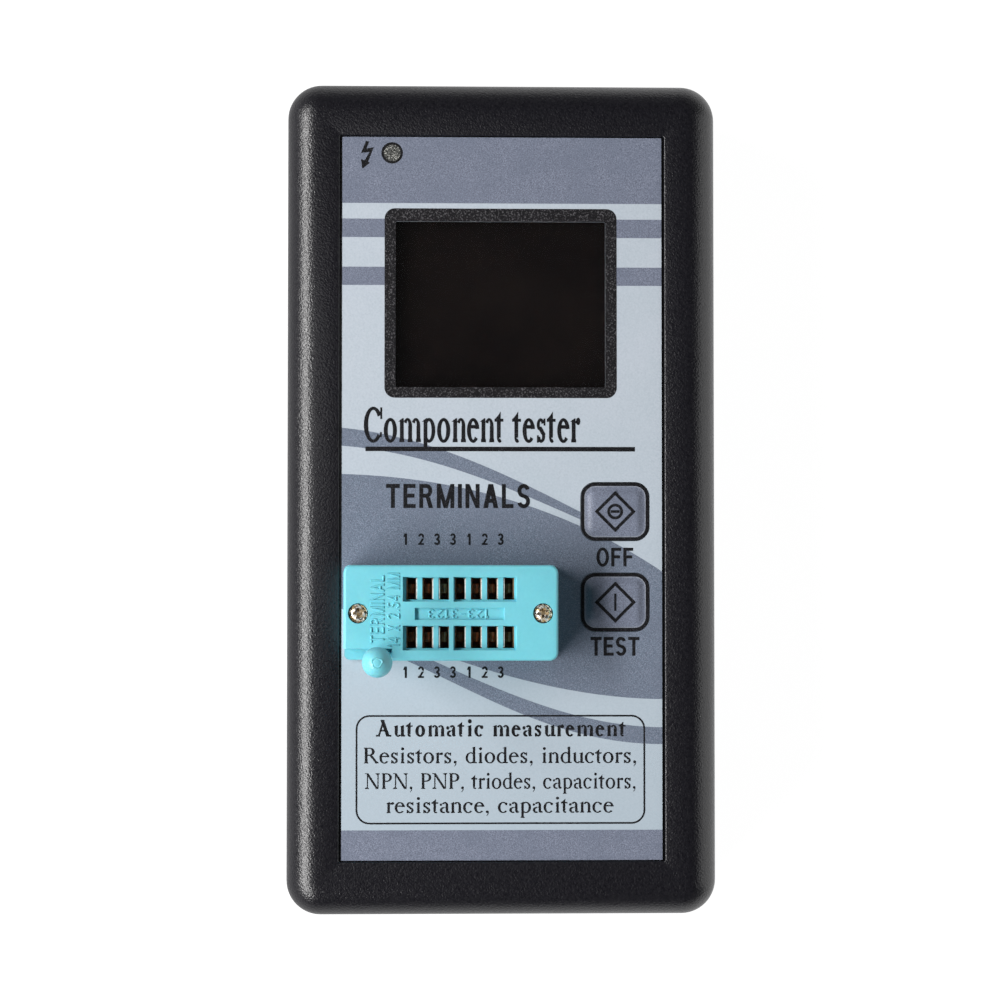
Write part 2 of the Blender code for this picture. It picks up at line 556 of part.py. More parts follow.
def socket_cover():
    """Socket cover: four windows over two rows of slots, a label recess and screw seats."""
    rings = [rounded_ring((SOCKET_SIZE[0] - 2 * inset, SOCKET_SIZE[1] - 2 * inset),
                          SOCKET_CORNER - inset, z)
             for inset, z in [(0.0, 0.0), (0.0, SOCKET_TOP - SOCKET_COVER_BOTTOM - 0.35),
                              (0.1, SOCKET_TOP - SOCKET_COVER_BOTTOM - 0.1),
                              (0.35, SOCKET_TOP - SOCKET_COVER_BOTTOM)]]
    cover = loft("zif_cover", rings, (*SOCKET_CENTRE, SOCKET_COVER_BOTTOM), TEAL)
    above = SOCKET_TOP + 1
    below = SOCKET_COVER_BOTTOM - 1
    for row, y in row_ys().items():
        for i, (left, right) in enumerate(WINDOW_SPANS):
            cut(cover, block(f"window_{row}_{i}", (left, y - WINDOW_HALF_HEIGHT, WINDOW_FLOOR),
                             (right, y + WINDOW_HALF_HEIGHT, above)))
        for i in range(1, PINS_PER_ROW + 1):
            x = pin_x(i)
            low_edge = CONTACT_TOP + 0.2
            cut(cover, block(f"slot_{row}_{i}", (x - SLOT_HALF_WIDTH, y - 1.9, low_edge - 0.1),
                             (x + SLOT_HALF_WIDTH, y + 1.9, WINDOW_FLOOR + 0.1)))
            cut(cover, block(f"leaf_room_{row}_{i}", (x - 1.05, y - 1.8, below), (x + 1.05, y + 1.8, low_edge)))
    cut(cover, block("label_recess", (-13.94, -19.48, SOCKET_TOP - 0.4), (0.09, -17.60, above)))
    cut(cover, block("cover_notch", (-27.0, -27.0, below), (NOTCH_RIGHT, NOTCH_TOP_Y, above)))
    for side, xy in SOCKET_SCREWS.items():
        cut(cover, rod(f"screw_seat_{side}", 1.65, (SOCKET_TOP - 1.3, above), xy))
        cut(cover, rod(f"cover_screw_hole_{side}", 0.95, (below, above), xy, steps=12))


def socket_slider():
    """Sliding plate with a window round each contact; the cam pushes its left end."""
    travel_gap = 0.1
    left = LEVER_AXIS[0] + CAM_RADIUS - CAM_OFFSET * math.sqrt(0.5) + travel_gap
    plate = block("zif_slider", (-16.6, -24.9, 27.1), (2.9, -12.0, 28.7), WHITE_PLASTIC)
    fuse(plate, block("slider_tongue", (left, -23.1, 27.1), (-16.0, -13.7, 28.7)))
    window_half = (PIN_PITCH - 0.3) / 2
    for row, y in row_ys().items():
        for i in range(1, PINS_PER_ROW + 1):
            x = pin_x(i) - SLIDER_TRAVEL / 2
            cut(plate, block(f"slider_window_{row}_{i}", (x - window_half, y - 1.8, 26.0),
                             (x + window_half, y + 1.8, 30.0)))


def socket_lever():
    """Lever with its knob, hub, shaft and eccentric cam, standing upright when open."""
    axis_x, axis_z = LEVER_AXIS
    middle_y = sum(LEVER_PLANE_Y) / 2
    half_y = (LEVER_PLANE_Y[1] - LEVER_PLANE_Y[0]) / 2
    shaft = prism("zif_lever", circle(LEVER_SHAFT_RADIUS, 20), "Y", (-0.2, -12.1 - middle_y),
                  (axis_x, middle_y, axis_z), TEAL)
    lobe = CAM_OFFSET * math.sqrt(0.5)
    cam = prism("lever_cam", circle(CAM_RADIUS, 24, (-lobe, -lobe)), "Y",
                (-23.1 - middle_y, -13.7 - middle_y), (axis_x, middle_y, axis_z))
    hub = prism("lever_hub", circle(2.0, 24), "Y", (-half_y, half_y), (axis_x, middle_y, axis_z))
    arm_top = LEVER_HEIGHT - 3.6
    arm = loft("lever_arm", [[(x, y, z) for x, y in [(w, half_y - e), (-w, half_y - e),
                                                     (-w, -half_y + e), (w, -half_y + e)]]
                             for w, e, z in [(1.5, 0.05, 0.5), (1.1, 0.05, 3.0), (1.0, 0.05, arm_top)]],
               (axis_x, middle_y, axis_z))
    crown = [(1.2, -4.6), (2.0, -4.0), (KNOB_RADIUS, -3.2), (KNOB_RADIUS, -1.7), (2.15, -0.9),
             (1.7, -0.35), (1.0, -0.08), (0.4, 0.0)]
    knob = turned("lever_knob", crown, (axis_x, KNOB_CENTRE_Y, axis_z + LEVER_HEIGHT))
    fuse(shaft, cam, hub, arm, knob)


def contact_mesh():
    """A fork contact: a board tail, a bridge and two upright leaves."""
    inner = CONTACT_HALF_WIDTH - LEAF_THICKNESS
    across = [-CONTACT_HALF_WIDTH, -inner, inner, CONTACT_HALF_WIDTH]
    depth = 1.5

    def ring(scale_x, scale_y, z):
        front = [(x * scale_x, -depth * scale_y, z) for x in across]
        back = [(x * scale_x, depth * scale_y, z) for x in reversed(across)]
        return front + back

    tail = 0.25
    rings = [ring(tail / CONTACT_HALF_WIDTH, tail / depth, BOARD_BOTTOM - 0.25),
             ring(tail / CONTACT_HALF_WIDTH, tail / depth, 21.0),
             ring(1.0, 1.0, 21.1), ring(1.0, 1.0, 21.5)]
    builder = bmesh.new()
    rows = [[builder.verts.new([v * MM for v in point]) for point in points] for points in rings]
    for low, high in zip(rows, rows[1:]):
        for i in range(8):
            j = (i + 1) % 8
            builder.faces.new((low[i], low[j], high[j], high[i]))
    builder.faces.new(list(reversed(rows[0])))
    top = rows[-1]
    strips = [builder.faces.new((top[i], top[i + 1], top[6 - i], top[7 - i])) for i in range(3)]
    for strip in (strips[0], strips[2]):
        lifted = bmesh.ops.extrude_discrete_faces(builder, faces=[strip])["faces"][0]
        rise = (CONTACT_TOP - 21.5) * MM
        bmesh.ops.translate(builder, vec=(0, 0, rise), verts=lifted.verts)
    return builder


def socket_contacts():
    """Two rows of seven contacts that share one mesh."""
    shared = None
    for row, y in row_ys().items():
        for i in range(1, PINS_PER_ROW + 1):
            name = f"zif_contact_{row}_{i}"
            if shared is None:
                first = object_from(name, contact_mesh(), (pin_x(i), y, 0), BRASS, smooth=False)
                shared = first.data
                continue
            item = bpy.data.objects.new(name, shared)
            bpy.context.scene.collection.objects.link(item)
            item.location = (pin_x(i) * MM, y * MM, 0)


def socket_screws():
    for side, (x, y) in SOCKET_SCREWS.items():
        cross_screw(f"zif_screw_{side}", (1.48, 0.95), (0.72, 7.0), (x, y, SOCKET_TOP - 1.0), True, 0.6)


def main():
    clear_scene()
    front_case()
    rear_case()
    battery_door()
    battery_parts()
    overlay_film()
    display_parts()
    for name, centre in KEY_CENTRES.items():
        key(name, centre)
    charge_lamp()
    main_pcb()
    board_components()
    fasteners()
    socket_base()
    socket_cover()
    socket_slider()
    socket_lever()
    socket_contacts()
    socket_screws()


main()
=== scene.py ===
"""Looks of the component tester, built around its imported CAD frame.

Everything is drawn in millimetres in the frame of the CAD model and turned into metres when a mesh
is made. The CAD nodes give every place and size; the pieces made here refine or dress them.
"""

import math

import bmesh
import bpy
from mathutils import Matrix, Vector
from mathutils.geometry import delaunay_2d_cdt


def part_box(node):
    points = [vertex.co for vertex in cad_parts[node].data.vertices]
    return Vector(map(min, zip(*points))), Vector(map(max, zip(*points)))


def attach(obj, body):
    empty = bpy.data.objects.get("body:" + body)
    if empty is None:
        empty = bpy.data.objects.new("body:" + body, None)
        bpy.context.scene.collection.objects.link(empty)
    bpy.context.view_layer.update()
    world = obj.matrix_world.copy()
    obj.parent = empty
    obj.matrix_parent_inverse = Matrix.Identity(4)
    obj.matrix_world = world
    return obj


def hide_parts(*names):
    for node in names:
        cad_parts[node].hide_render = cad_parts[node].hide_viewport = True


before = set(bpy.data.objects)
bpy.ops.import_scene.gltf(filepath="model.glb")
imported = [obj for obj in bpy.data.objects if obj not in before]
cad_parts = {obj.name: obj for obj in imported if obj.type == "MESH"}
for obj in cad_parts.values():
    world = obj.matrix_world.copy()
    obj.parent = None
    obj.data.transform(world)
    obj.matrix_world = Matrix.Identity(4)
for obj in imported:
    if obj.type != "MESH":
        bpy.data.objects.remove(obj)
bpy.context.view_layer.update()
MM = 0.001


# ================================================================ places taken from the frame

def mm_box(node):
    """A CAD node's lowest and highest corners at rest, in millimetres."""
    low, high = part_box(node)
    return [v / MM for v in low], [v / MM for v in high]


def plan(node):
    """A CAD node's size and centre in plan, in millimetres."""
    low, high = mm_box(node)
    size = (high[0] - low[0], high[1] - low[1])
    return size, ((low[0] + high[0]) / 2, (low[1] + high[1]) / 2)


ROWS = ("upper", "lower")
PINS = range(1, 8)
FILM_LOW, FILM_HIGH = mm_box("overlay_film")
FILM_TOP = FILM_HIGH[2]
WINDOW_SIZE, WINDOW_CENTRE = plan("display_window")
SOCKET_SIZE, SOCKET_CENTRE = plan("zif_cover")
SOCKET_TOP = mm_box("zif_cover")[1][2]
SLOT_X = [plan(f"zif_contact_upper_{i}")[1][0] for i in PINS]
ROW_Y = {row: plan(f"zif_contact_{row}_1")[1][1] for row in ROWS}
KEYS = {name: plan(name + "_key_pad") for name in ("off", "test")}
CORNERS = range(1, 5)
SIDES = ("left", "right")
FOUR_CORNERS = ((1, 1), (-1, 1), (-1, -1), (1, -1))
KEY_CORNER = 2.3
SOCKET_CORNER = 0.9
FIT_GAP = 0.3
PRINT_STEP = 0.008


# ================================================================ meshes

def smooth(mesh, angle):
    """Shade a mesh smooth, apart from edges sharper than this many degrees."""
    mesh.shade_smooth()
    mesh.set_sharp_from_angle(angle=math.radians(angle))


def new_piece(name, builder, smooth_angle=35):
    """An object at the origin from a bmesh whose points are already in metres."""
    bmesh.ops.recalc_face_normals(builder, faces=builder.faces)
    mesh = bpy.data.meshes.new(name)
    builder.to_mesh(mesh)
    builder.free()
    if smooth_angle:
        smooth(mesh, smooth_angle)
    piece = bpy.data.objects.new(name, mesh)
    bpy.context.scene.collection.objects.link(piece)
    return piece


def add_loft(builder, rings):
    """Add a closed solid through rings of the same number of points."""
    rows = [[builder.verts.new([v * MM for v in point]) for point in ring] for ring in rings]
    count = len(rings[0])
    for low, high in zip(rows, rows[1:]):
        for i in range(count):
            j = (i + 1) % count
            builder.faces.new((low[i], low[j], high[j], high[i]))
    builder.faces.new(list(reversed(rows[0])))
    builder.faces.new(rows[-1])


def loft(name, rings, smooth_angle=35):
    builder = bmesh.new()
    add_loft(builder, rings)
    return new_piece(name, builder, smooth_angle)


def rounded_outline(size, radius, centre=(0, 0), steps=8):
    """Points of a rounded rectangle, counter-clockwise."""
    points = []
    for corner, (sign_x, sign_y) in enumerate(FOUR_CORNERS):
        x = centre[0] + sign_x * (size[0] / 2 - radius)
        y = centre[1] + sign_y * (size[1] / 2 - radius)
        for step in range(steps + 1):
            angle = math.pi / 2 * (corner + step / steps)
            points.append((x + radius * math.cos(angle), y + radius * math.sin(angle)))
    return points


def shrink(size, inset):
    return (size[0] - 2 * inset, size[1] - 2 * inset)


def at_height(outline, z):
    return [(x, y, z) for x, y in outline]


def slab(name, size, radius, z_span, centre):
    outline = rounded_outline(size, radius, centre)
    return loft(name, [at_height(outline, z) for z in z_span])


def block(name, low, high):
    outline = [(high[0], high[1]), (low[0], high[1]), (low[0], low[1]), (high[0], low[1])]
    return loft(name, [at_height(outline, low[2]), at_height(outline, high[2])])


def circle(radius, steps, centre):
    turn = 2 * math.pi / steps
    return [(centre[0] + radius * math.cos(turn * i), centre[1] + radius * math.sin(turn * i))
            for i in range(steps)]


def quarter_turn(steps, first=0):
    """Cosine and sine of equal steps over a right angle."""
    angles = [math.pi / 2 * i / steps for i in range(first, steps + 1)]
    return [(math.cos(angle), math.sin(angle)) for angle in angles]


def turned(name, profile, centre, steps=48):
    """A solid of revolution about an upright axis, from (radius, z) points, bottom to top."""
    return loft(name, [at_height(circle(radius, steps, centre), z) for radius, z in profile])


def post(name, radius, z_span, node, steps=48):
    """An upright cylinder through the middle of a CAD node."""
    return turned(name, [(radius, z) for z in z_span], plan(node)[1], steps)


def along_y(name, outline, span):
    """An outline of (x, z) points extruded along Y."""
    return loft(name, [[(x, y, z) for x, z in outline] for y in span])


def apply_modifiers(piece):
    graph = bpy.context.evaluated_depsgraph_get()
    mesh = bpy.data.meshes.new_from_object(piece.evaluated_get(graph))
    piece.modifiers.clear()
    piece.data = mesh


def carve(piece, tools, operation="DIFFERENCE"):
    """Boolean the tools into the piece and drop them."""
    for tool in tools:
        modifier = piece.modifiers.new(tool.name, "BOOLEAN")
        modifier.operation = operation
        modifier.solver = "EXACT"
        modifier.object = tool
    apply_modifiers(piece)
    for tool in tools:
        bpy.data.objects.remove(tool, do_unlink=True)


def add_bevel(piece, width, segments, angle):
    """Round the piece's edges that are sharper than this many degrees."""
    bevel = piece.modifiers.new("edge_rounding", "BEVEL")
    bevel.width = width * MM
    bevel.segments = segments
    bevel.limit_method = "ANGLE"
    bevel.angle_limit = math.radians(angle)
    return bevel


def soften(piece, width, segments=2, angle=40):
    """Round the piece's sharp edges in its mesh."""
    piece.data.shade_smooth()
    add_bevel(piece, width, segments, angle).harden_normals = True
    apply_modifiers(piece)


def anticlockwise(outline):
    """The same outline, running counter-clockwise."""
    doubled = sum(x0 * y1 - x1 * y0 for (x0, y0), (x1, y1) in zip(outline, outline[1:] + outline[:1]))
    return outline if doubled > 0 else outline[::-1]


def inset(outline, depth):
    """The outline moved inwards, with mitred corners."""
    outline = anticlockwise(outline)
    moved = []
    for before, here, after in zip(outline[-1:] + outline[:-1], outline, outline[1:] + outline[:1]):
        normals = []
        for (x0, y0), (x1, y1) in ((before, here), (here, after)):
            length = math.hypot(x1 - x0, y1 - y0) or 1.0
            normals.append(((y0 - y1) / length, (x1 - x0) / length))
        (ax, ay), (bx, by) = normals
        reach = depth / max(1 + ax * bx + ay * by, 0.5)
        moved.append((here[0] + (ax + bx) * reach, here[1] + (ay + by) * reach))
    return moved


def planar(name, include, exclude, within, z_span):
    """A thin solid over the union of some outlines, less others, and kept within others."""
    polygons = [anticlockwise(polygon) for polygon in (*include, *exclude, *within)]
    points, faces = [], []
    for polygon in polygons:
        faces.append(list(range(len(points), len(points) + len(polygon))))
        points += [Vector(p) for p in polygon]
    result = delaunay_2d_cdt(points, [], faces, 1, 1e-6)
    vertices, triangles, origins = result[0], result[2], result[5]
    last_in, last_out = len(include), len(include) + len(exclude)
    kept = []
    for triangle, origin in zip(triangles, origins):
        inside = any(i < last_in for i in origin)
        outside = any(last_in <= i < last_out for i in origin)
        bounded = all(i in origin for i in range(last_out, len(polygons)))
        if inside and bounded and not outside:
            kept.append(triangle)
    builder = bmesh.new()
    used = sorted({i for triangle in kept for i in triangle})
    layers = [{i: builder.verts.new((vertices[i].x * MM, vertices[i].y * MM, z * MM)) for i in used}
              for z in z_span]
    edges = {}
    for triangle in kept:
        builder.faces.new([layers[1][i] for i in triangle])
        builder.faces.new([layers[0][i] for i in reversed(triangle)])
        for a, b in zip(triangle, triangle[1:] + triangle[:1]):
            edges[(a, b)] = edges.get((a, b), 0) + 1
    for a, b in edges:
        if (b, a) not in edges:
            builder.faces.new((layers[0][a], layers[0][b], layers[1][b], layers[1][a]))
    return new_piece(name, builder, smooth_angle=None)


# ================================================================ materials

# The studio light is bright, so every colour is made darker by this factor.
EXPOSURE = 0.86
# Noise is turned off the object's axes, so that it shows no lattice on flat faces.
NOISE_TURN = (0.62, 0.41, 0.93)


def linear(channel):
    """One 0..255 display colour channel as a linear value."""
    value = channel / 255.0
    if value <= 0.04045:
        return value / 12.92
    return ((value + 0.055) / 1.055) ** 2.4


def rgb(colour):
    return (*[min(1.0, linear(c) * EXPOSURE) for c in colour], 1.0)


def plug(tree, node, values):
    """Set a node's inputs by name, with _ for a space, or link them to other nodes' outputs."""
    for name, value in values.items():
        socket = node.inputs[name.replace("_", " ")]
        if isinstance(value, bpy.types.NodeSocket):
            tree.links.new(value, socket)
        else:
            socket.default_value = value


def add_node(tree, kind, **values):
    node = tree.nodes.new(kind)
    plug(tree, node, values)
    return node


def map_range(tree, source, low, high, first=0.0, last=1.0):
    """A straight ramp. Its first value may be another node's output."""
    ramp = add_node(tree, "ShaderNodeMapRange", Value=source, From_Min=low, From_Max=high,
                    To_Min=first, To_Max=last)
    return ramp.outputs["Result"]


def multiply(tree, first, second):
    node = tree.nodes.new("ShaderNodeMath")
    node.operation = "MULTIPLY"
    tree.links.new(first, node.inputs[0])
    if isinstance(second, float):
        node.inputs[1].default_value = second
    else:
        tree.links.new(second, node.inputs[1])
    return node.outputs[0]


class Surface:
    """A node material built up layer by layer around one Principled shader."""

    def __init__(self, name, colour, roughness, metallic=0.0, specular=0.5):
        self.material = bpy.data.materials.new(name)
        self.material.use_nodes = True
        self.tree = self.material.node_tree
        self.shader = self.tree.nodes["Principled BSDF"]
        self.place = self.add("ShaderNodeTexCoord").outputs["Object"]
        self.colour = self.add("ShaderNodeRGB").outputs[0]
        self.colour.default_value = rgb(colour)
        self.height = None
        self.set(Metallic=metallic, Roughness=roughness, Specular_IOR_Level=specular,
                 Base_Color=self.colour)

    def add(self, kind, **values):
        return add_node(self.tree, kind, **values)

    def set(self, **values):
        """Set or link the shader's inputs."""
        plug(self.tree, self.shader, values)
        return self

    def noise(self, grain_mm, detail=2.0, stretch=(1.0, 1.0, 1.0)):
        """Noise whose features are about this many millimetres across."""
        place = self.add("ShaderNodeMapping", Scale=stretch, Rotation=NOISE_TURN, Vector=self.place)
        noise = self.add("ShaderNodeTexNoise", Scale=1.0 / (grain_mm * MM), Detail=detail,
                         Vector=place.outputs["Vector"])
        return noise.outputs["Fac"]

    def blend(self, factor, colour, amount):
        """Mix a colour in where the factor is high."""
        mix = self.add("ShaderNodeMix")
        mix.data_type = "RGBA"
        factor = multiply(self.tree, factor, amount)
        plug(self.tree, mix, {"Factor": factor, "A": self.colour, "B": rgb(colour)})
        self.colour = mix.outputs["Result"]
        return self.set(Base_Color=self.colour)

    def mottle(self, grain_mm, colour, amount, low=0.35, high=0.65):
        """Speckle towards another colour."""
        return self.blend(map_range(self.tree, self.noise(grain_mm), low, high), colour, amount)

    def specks(self, spacing_mm, colour, threshold, amount):
        """Sparse small marks: dust and nicks."""
        marks = map_range(self.tree, self.noise(spacing_mm, 3.0), threshold, threshold + 0.03)
        return self.blend(marks, colour, amount)

    def along(self, axis, start_mm, end_mm, colour, amount=1.0):
        """Tint that grows from one place along an axis to another."""
        split = self.add("ShaderNodeSeparateXYZ", Vector=self.place)
        growth = map_range(self.tree, split.outputs[axis], start_mm * MM, end_mm * MM)
        return self.blend(growth, colour, amount)

    def vary_roughness(self, grain_mm, low, high):
        """Let the roughness wander between two values."""
        return self.set(Roughness=map_range(self.tree, self.noise(grain_mm), 0.3, 0.7, low, high))

    def grain(self, grain_mm, depth_mm, detail=2.0, source=None):
        """A bump layer, on top of the bumps already there."""
        source = source or self.noise(grain_mm, detail)
        bump = self.add("ShaderNodeBump", Strength=1.0, Distance=depth_mm * MM, Height=source)
        if self.height:
            self.tree.links.new(self.height, bump.inputs["Normal"])
        self.height = bump.outputs["Normal"]
        return self.set(Normal=self.height)


def textured_abs():
    """Black spark-eroded case plastic."""
    return (Surface("textured_black_abs", (13, 12, 19), 0.36, specular=0.5)
            .mottle(0.4, (30, 29, 35), 0.6)
            .specks(0.9, (150, 150, 150), 0.765, 0.6)
            .vary_roughness(0.5, 0.27, 0.38)
            .grain(0.3, 0.075, 1.0)
            .grain(4.0, 0.01)
            .set(IOR=1.56)).material


def film_light():
    return (Surface("film_light_print", (196, 206, 217), 0.42, specular=0.35)
            .mottle(6.0, (190, 202, 212), 0.6)
            .mottle(0.3, (210, 218, 228), 0.5)
            .mottle(0.34, (182, 192, 203), 0.4, 0.5, 0.7)
            # painted shade: the print grows darker and bluer towards the bottom of the film, where less light
            # falls
            .along("Y", 20, -55, (176, 194, 206), 0.6)
            .grain(0.25, 0.004)).material


def film_dark(name, colour):
    """Grey print with fine metallic flakes."""
    return (Surface(name, colour, 0.4, specular=0.35)
            .mottle(0.17, (166, 172, 192), 0.65, 0.48, 0.64)
            .mottle(0.19, (92, 98, 114), 0.7, 0.5, 0.64)
            .mottle(5.0, (116, 124, 142), 0.4)
            .grain(0.25, 0.006)).material


def ink_black():
    return (Surface("black_print", (15, 15, 18), 0.5, specular=0.25)
            .mottle(0.2, (84, 84, 92), 0.45, 0.54, 0.68)
            .grain(0.25, 0.006)).material


def border_black():
    """Coarser speckled black of the display border."""
    return (Surface("display_border_print", (15, 14, 18), 0.5, specular=0.3)
            .mottle(0.24, (150, 148, 153), 0.42, 0.53, 0.68)
            .grain(0.3, 0.01)).material


def teal_plastic():
    return (Surface("teal_moulded_plastic", (126, 217, 232), 0.38, specular=0.45)
            .mottle(4.0, (133, 223, 237), 0.5)
            .mottle(0.5, (118, 207, 223), 0.25)
            .vary_roughness(1.2, 0.32, 0.45)
            .grain(0.5, 0.006)
            .set(Subsurface_Weight=0.12, Subsurface_Scale=0.0012)).material


def metal(name, colour, roughness):
    """Plated metal with a fine, uneven sheen."""
    return (Surface(name, colour, roughness, metallic=1.0)
            .vary_roughness(0.9, roughness * 0.7, roughness * 1.4)
            .grain(0.3, 0.004)).material


def plain_plastic(name, colour, roughness, mark):
    return (Surface(name, colour, roughness)
            .mottle(0.6, mark, 0.35)
            .vary_roughness(0.8, roughness * 0.85, roughness * 1.2)
            .grain(0.4, 0.006)).material


def lamp_diffuser():
    """Milky plastic whose rough face glitters: the glints are painted into its colour as bright flecks, among
    dark ones.
    """
    return (Surface("lamp_diffuser", (90, 91, 89), 0.35)
            # painted glints: bright flecks
            .mottle(0.21, (214, 214, 208), 0.85, 0.54, 0.61)
            .mottle(0.24, (40, 41, 40), 0.9, 0.5, 0.58)
            .grain(0.3, 0.02)).material


def polished_screw():
    """Bright nickel that mirrors a light and dark room, its reflections partly painted: a bright,
    half-diffuse colour with white glints and dark brown patches in it.
    """
    return (Surface("polished_nickel_screw", (226, 200, 156), 0.17, metallic=0.45)
            # painted reflections: white glints, then dark brown patches
            .mottle(0.75, (255, 252, 244), 1.0, 0.48, 0.54)
            .mottle(0.45, (52, 38, 24), 0.9, 0.52, 0.57)
            .grain(0.5, 0.12)).material


def contact_bronze():
    """Bronze with a painted highlight, near white, along the top edge of each leaf."""
    return (Surface("contact_bronze", (206, 146, 104), 0.42, metallic=0.15)
            .mottle(0.6, (136, 92, 64), 0.7)
            .grain(0.3, 0.004)
            # painted highlight: near white at the top edge of the leaves
            .along("Z", SOCKET_TOP - 1.32, SOCKET_TOP - 1.22, (255, 252, 246))
            .mottle(0.5, (178, 168, 156), 0.5, 0.5, 0.6)).material


def cell_sleeve():
    """Blue shrink sleeve with a fine wrinkle along the cell."""
    surface = (Surface("cell_shrink_sleeve", (38, 84, 148), 0.3)
               .mottle(5.0, (30, 70, 128), 0.5)
               .vary_roughness(2.0, 0.24, 0.4))
    surface.grain(1.0, 0.02, source=surface.noise(1.5, stretch=(1.0, 0.1, 1.0)))
    return surface.material


def clear_pane():
    return (Surface("clear_window_plastic", (236, 236, 238), 0.05)
            .vary_roughness(2.0, 0.03, 0.08)
            .grain(8.0, 0.004)
            .set(Transmission_Weight=1.0, IOR=1.46)).material


def display_glass():
    return (Surface("display_dark_glass", (44, 33, 31), 0.12)
            .mottle(12.0, (56, 45, 40), 0.8)
            .specks(0.5, (120, 110, 104), 0.77, 0.5)
            .grain(6.0, 0.003)).material


def board_green():
    """Solder mask over faint tracks."""
    surface = Surface("circuit_board", (20, 74, 46), 0.35)
    tracks = surface.add("ShaderNodeTexBrick", Scale=120.0, Mortar_Size=0.01, Vector=surface.place)
    surface.blend(tracks.outputs["Fac"], (38, 112, 70), 0.6)
    surface.grain(0.5, 0.004)
    return surface.material


MATERIALS = {
    "abs": textured_abs(),
    "teal": teal_plastic(),
    "film_light": film_light(),
    "film_grey": film_dark("film_grey_print", (124, 131, 149)),
    "film_slate": film_dark("film_slate_print", (115, 128, 145)),
    # painted highlight: the pale ring just inside each key's outline, the light on the pad's raised rim
    "film_rim_highlight": film_dark("painted_rim_highlight", (156, 161, 172)),
    "ink": ink_black(),
    "border": border_black(),
    "pane": clear_pane(),
    "glass": display_glass(),
    "lamp": lamp_diffuser(),
    "screw": polished_screw(),
    "bronze": contact_bronze(),
    "steel": metal("zinc_plated_steel", (176, 178, 182), 0.3),
    "nickel": metal("bright_nickel", (206, 204, 198), 0.22),
    "chip": plain_plastic("chip_epoxy", (28, 28, 30), 0.55, (44, 44, 46)),
    "white": plain_plastic("white_nylon", (214, 214, 206), 0.45, (200, 200, 190)),
    "flex": plain_plastic("amber_flex_film", (176, 112, 42), 0.3, (196, 136, 60)),
    "board": board_green(),
    "sleeve": cell_sleeve(),
}


def dress(piece, look):
    """Give a piece one of the materials."""
    piece.data.materials.clear()
    piece.data.materials.append(MATERIALS[look])


def settle(piece, look, node=None, body="case"):
    """Give a new piece its material and body, and hide the CAD node that it stands for."""
    dress(piece, look)
    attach(piece, body)
    if node:
        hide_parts(node)


# ================================================================ lettering

def bar(x0, y0, x1, y1):
    return [(x0, y0), (x1, y0), (x1, y1), (x0, y1)]


def slant(x0, y0, x1, y1, width):
    """A sloping stroke of constant horizontal width, from its foot (x0, y0) to its top (x1, y1)."""
    return [(x0, y0), (x0 + width, y0), (x1 + width, y1), (x1, y1)]


def arc(x, y, rx, ry, tx, ty, start=0, end=360):
    """Part of an elliptical ring, tx thick at the sides and ty at top and bottom."""
    if end - start >= 360:
        half = start + 180
        return arc(x, y, rx, ry, tx, ty, start, half) + arc(x, y, rx, ry, tx, ty, half, end)
    thickest = 0.78
    tx, ty = min(tx, rx * thickest), min(ty, ry * thickest)
    steps = max(4, round(abs(end - start) / 15))
    turns = [math.radians(start + (end - start) * i / steps) for i in range(steps + 1)]
    outer = [(x + rx * math.cos(a), y + ry * math.sin(a)) for a in turns]
    inner = [(x + (rx - tx) * math.cos(a), y + (ry - ty) * math.sin(a)) for a in reversed(turns)]
    return [outer + inner]


def disc(x, y, radius):
    return circle(radius, 12, (x, y))


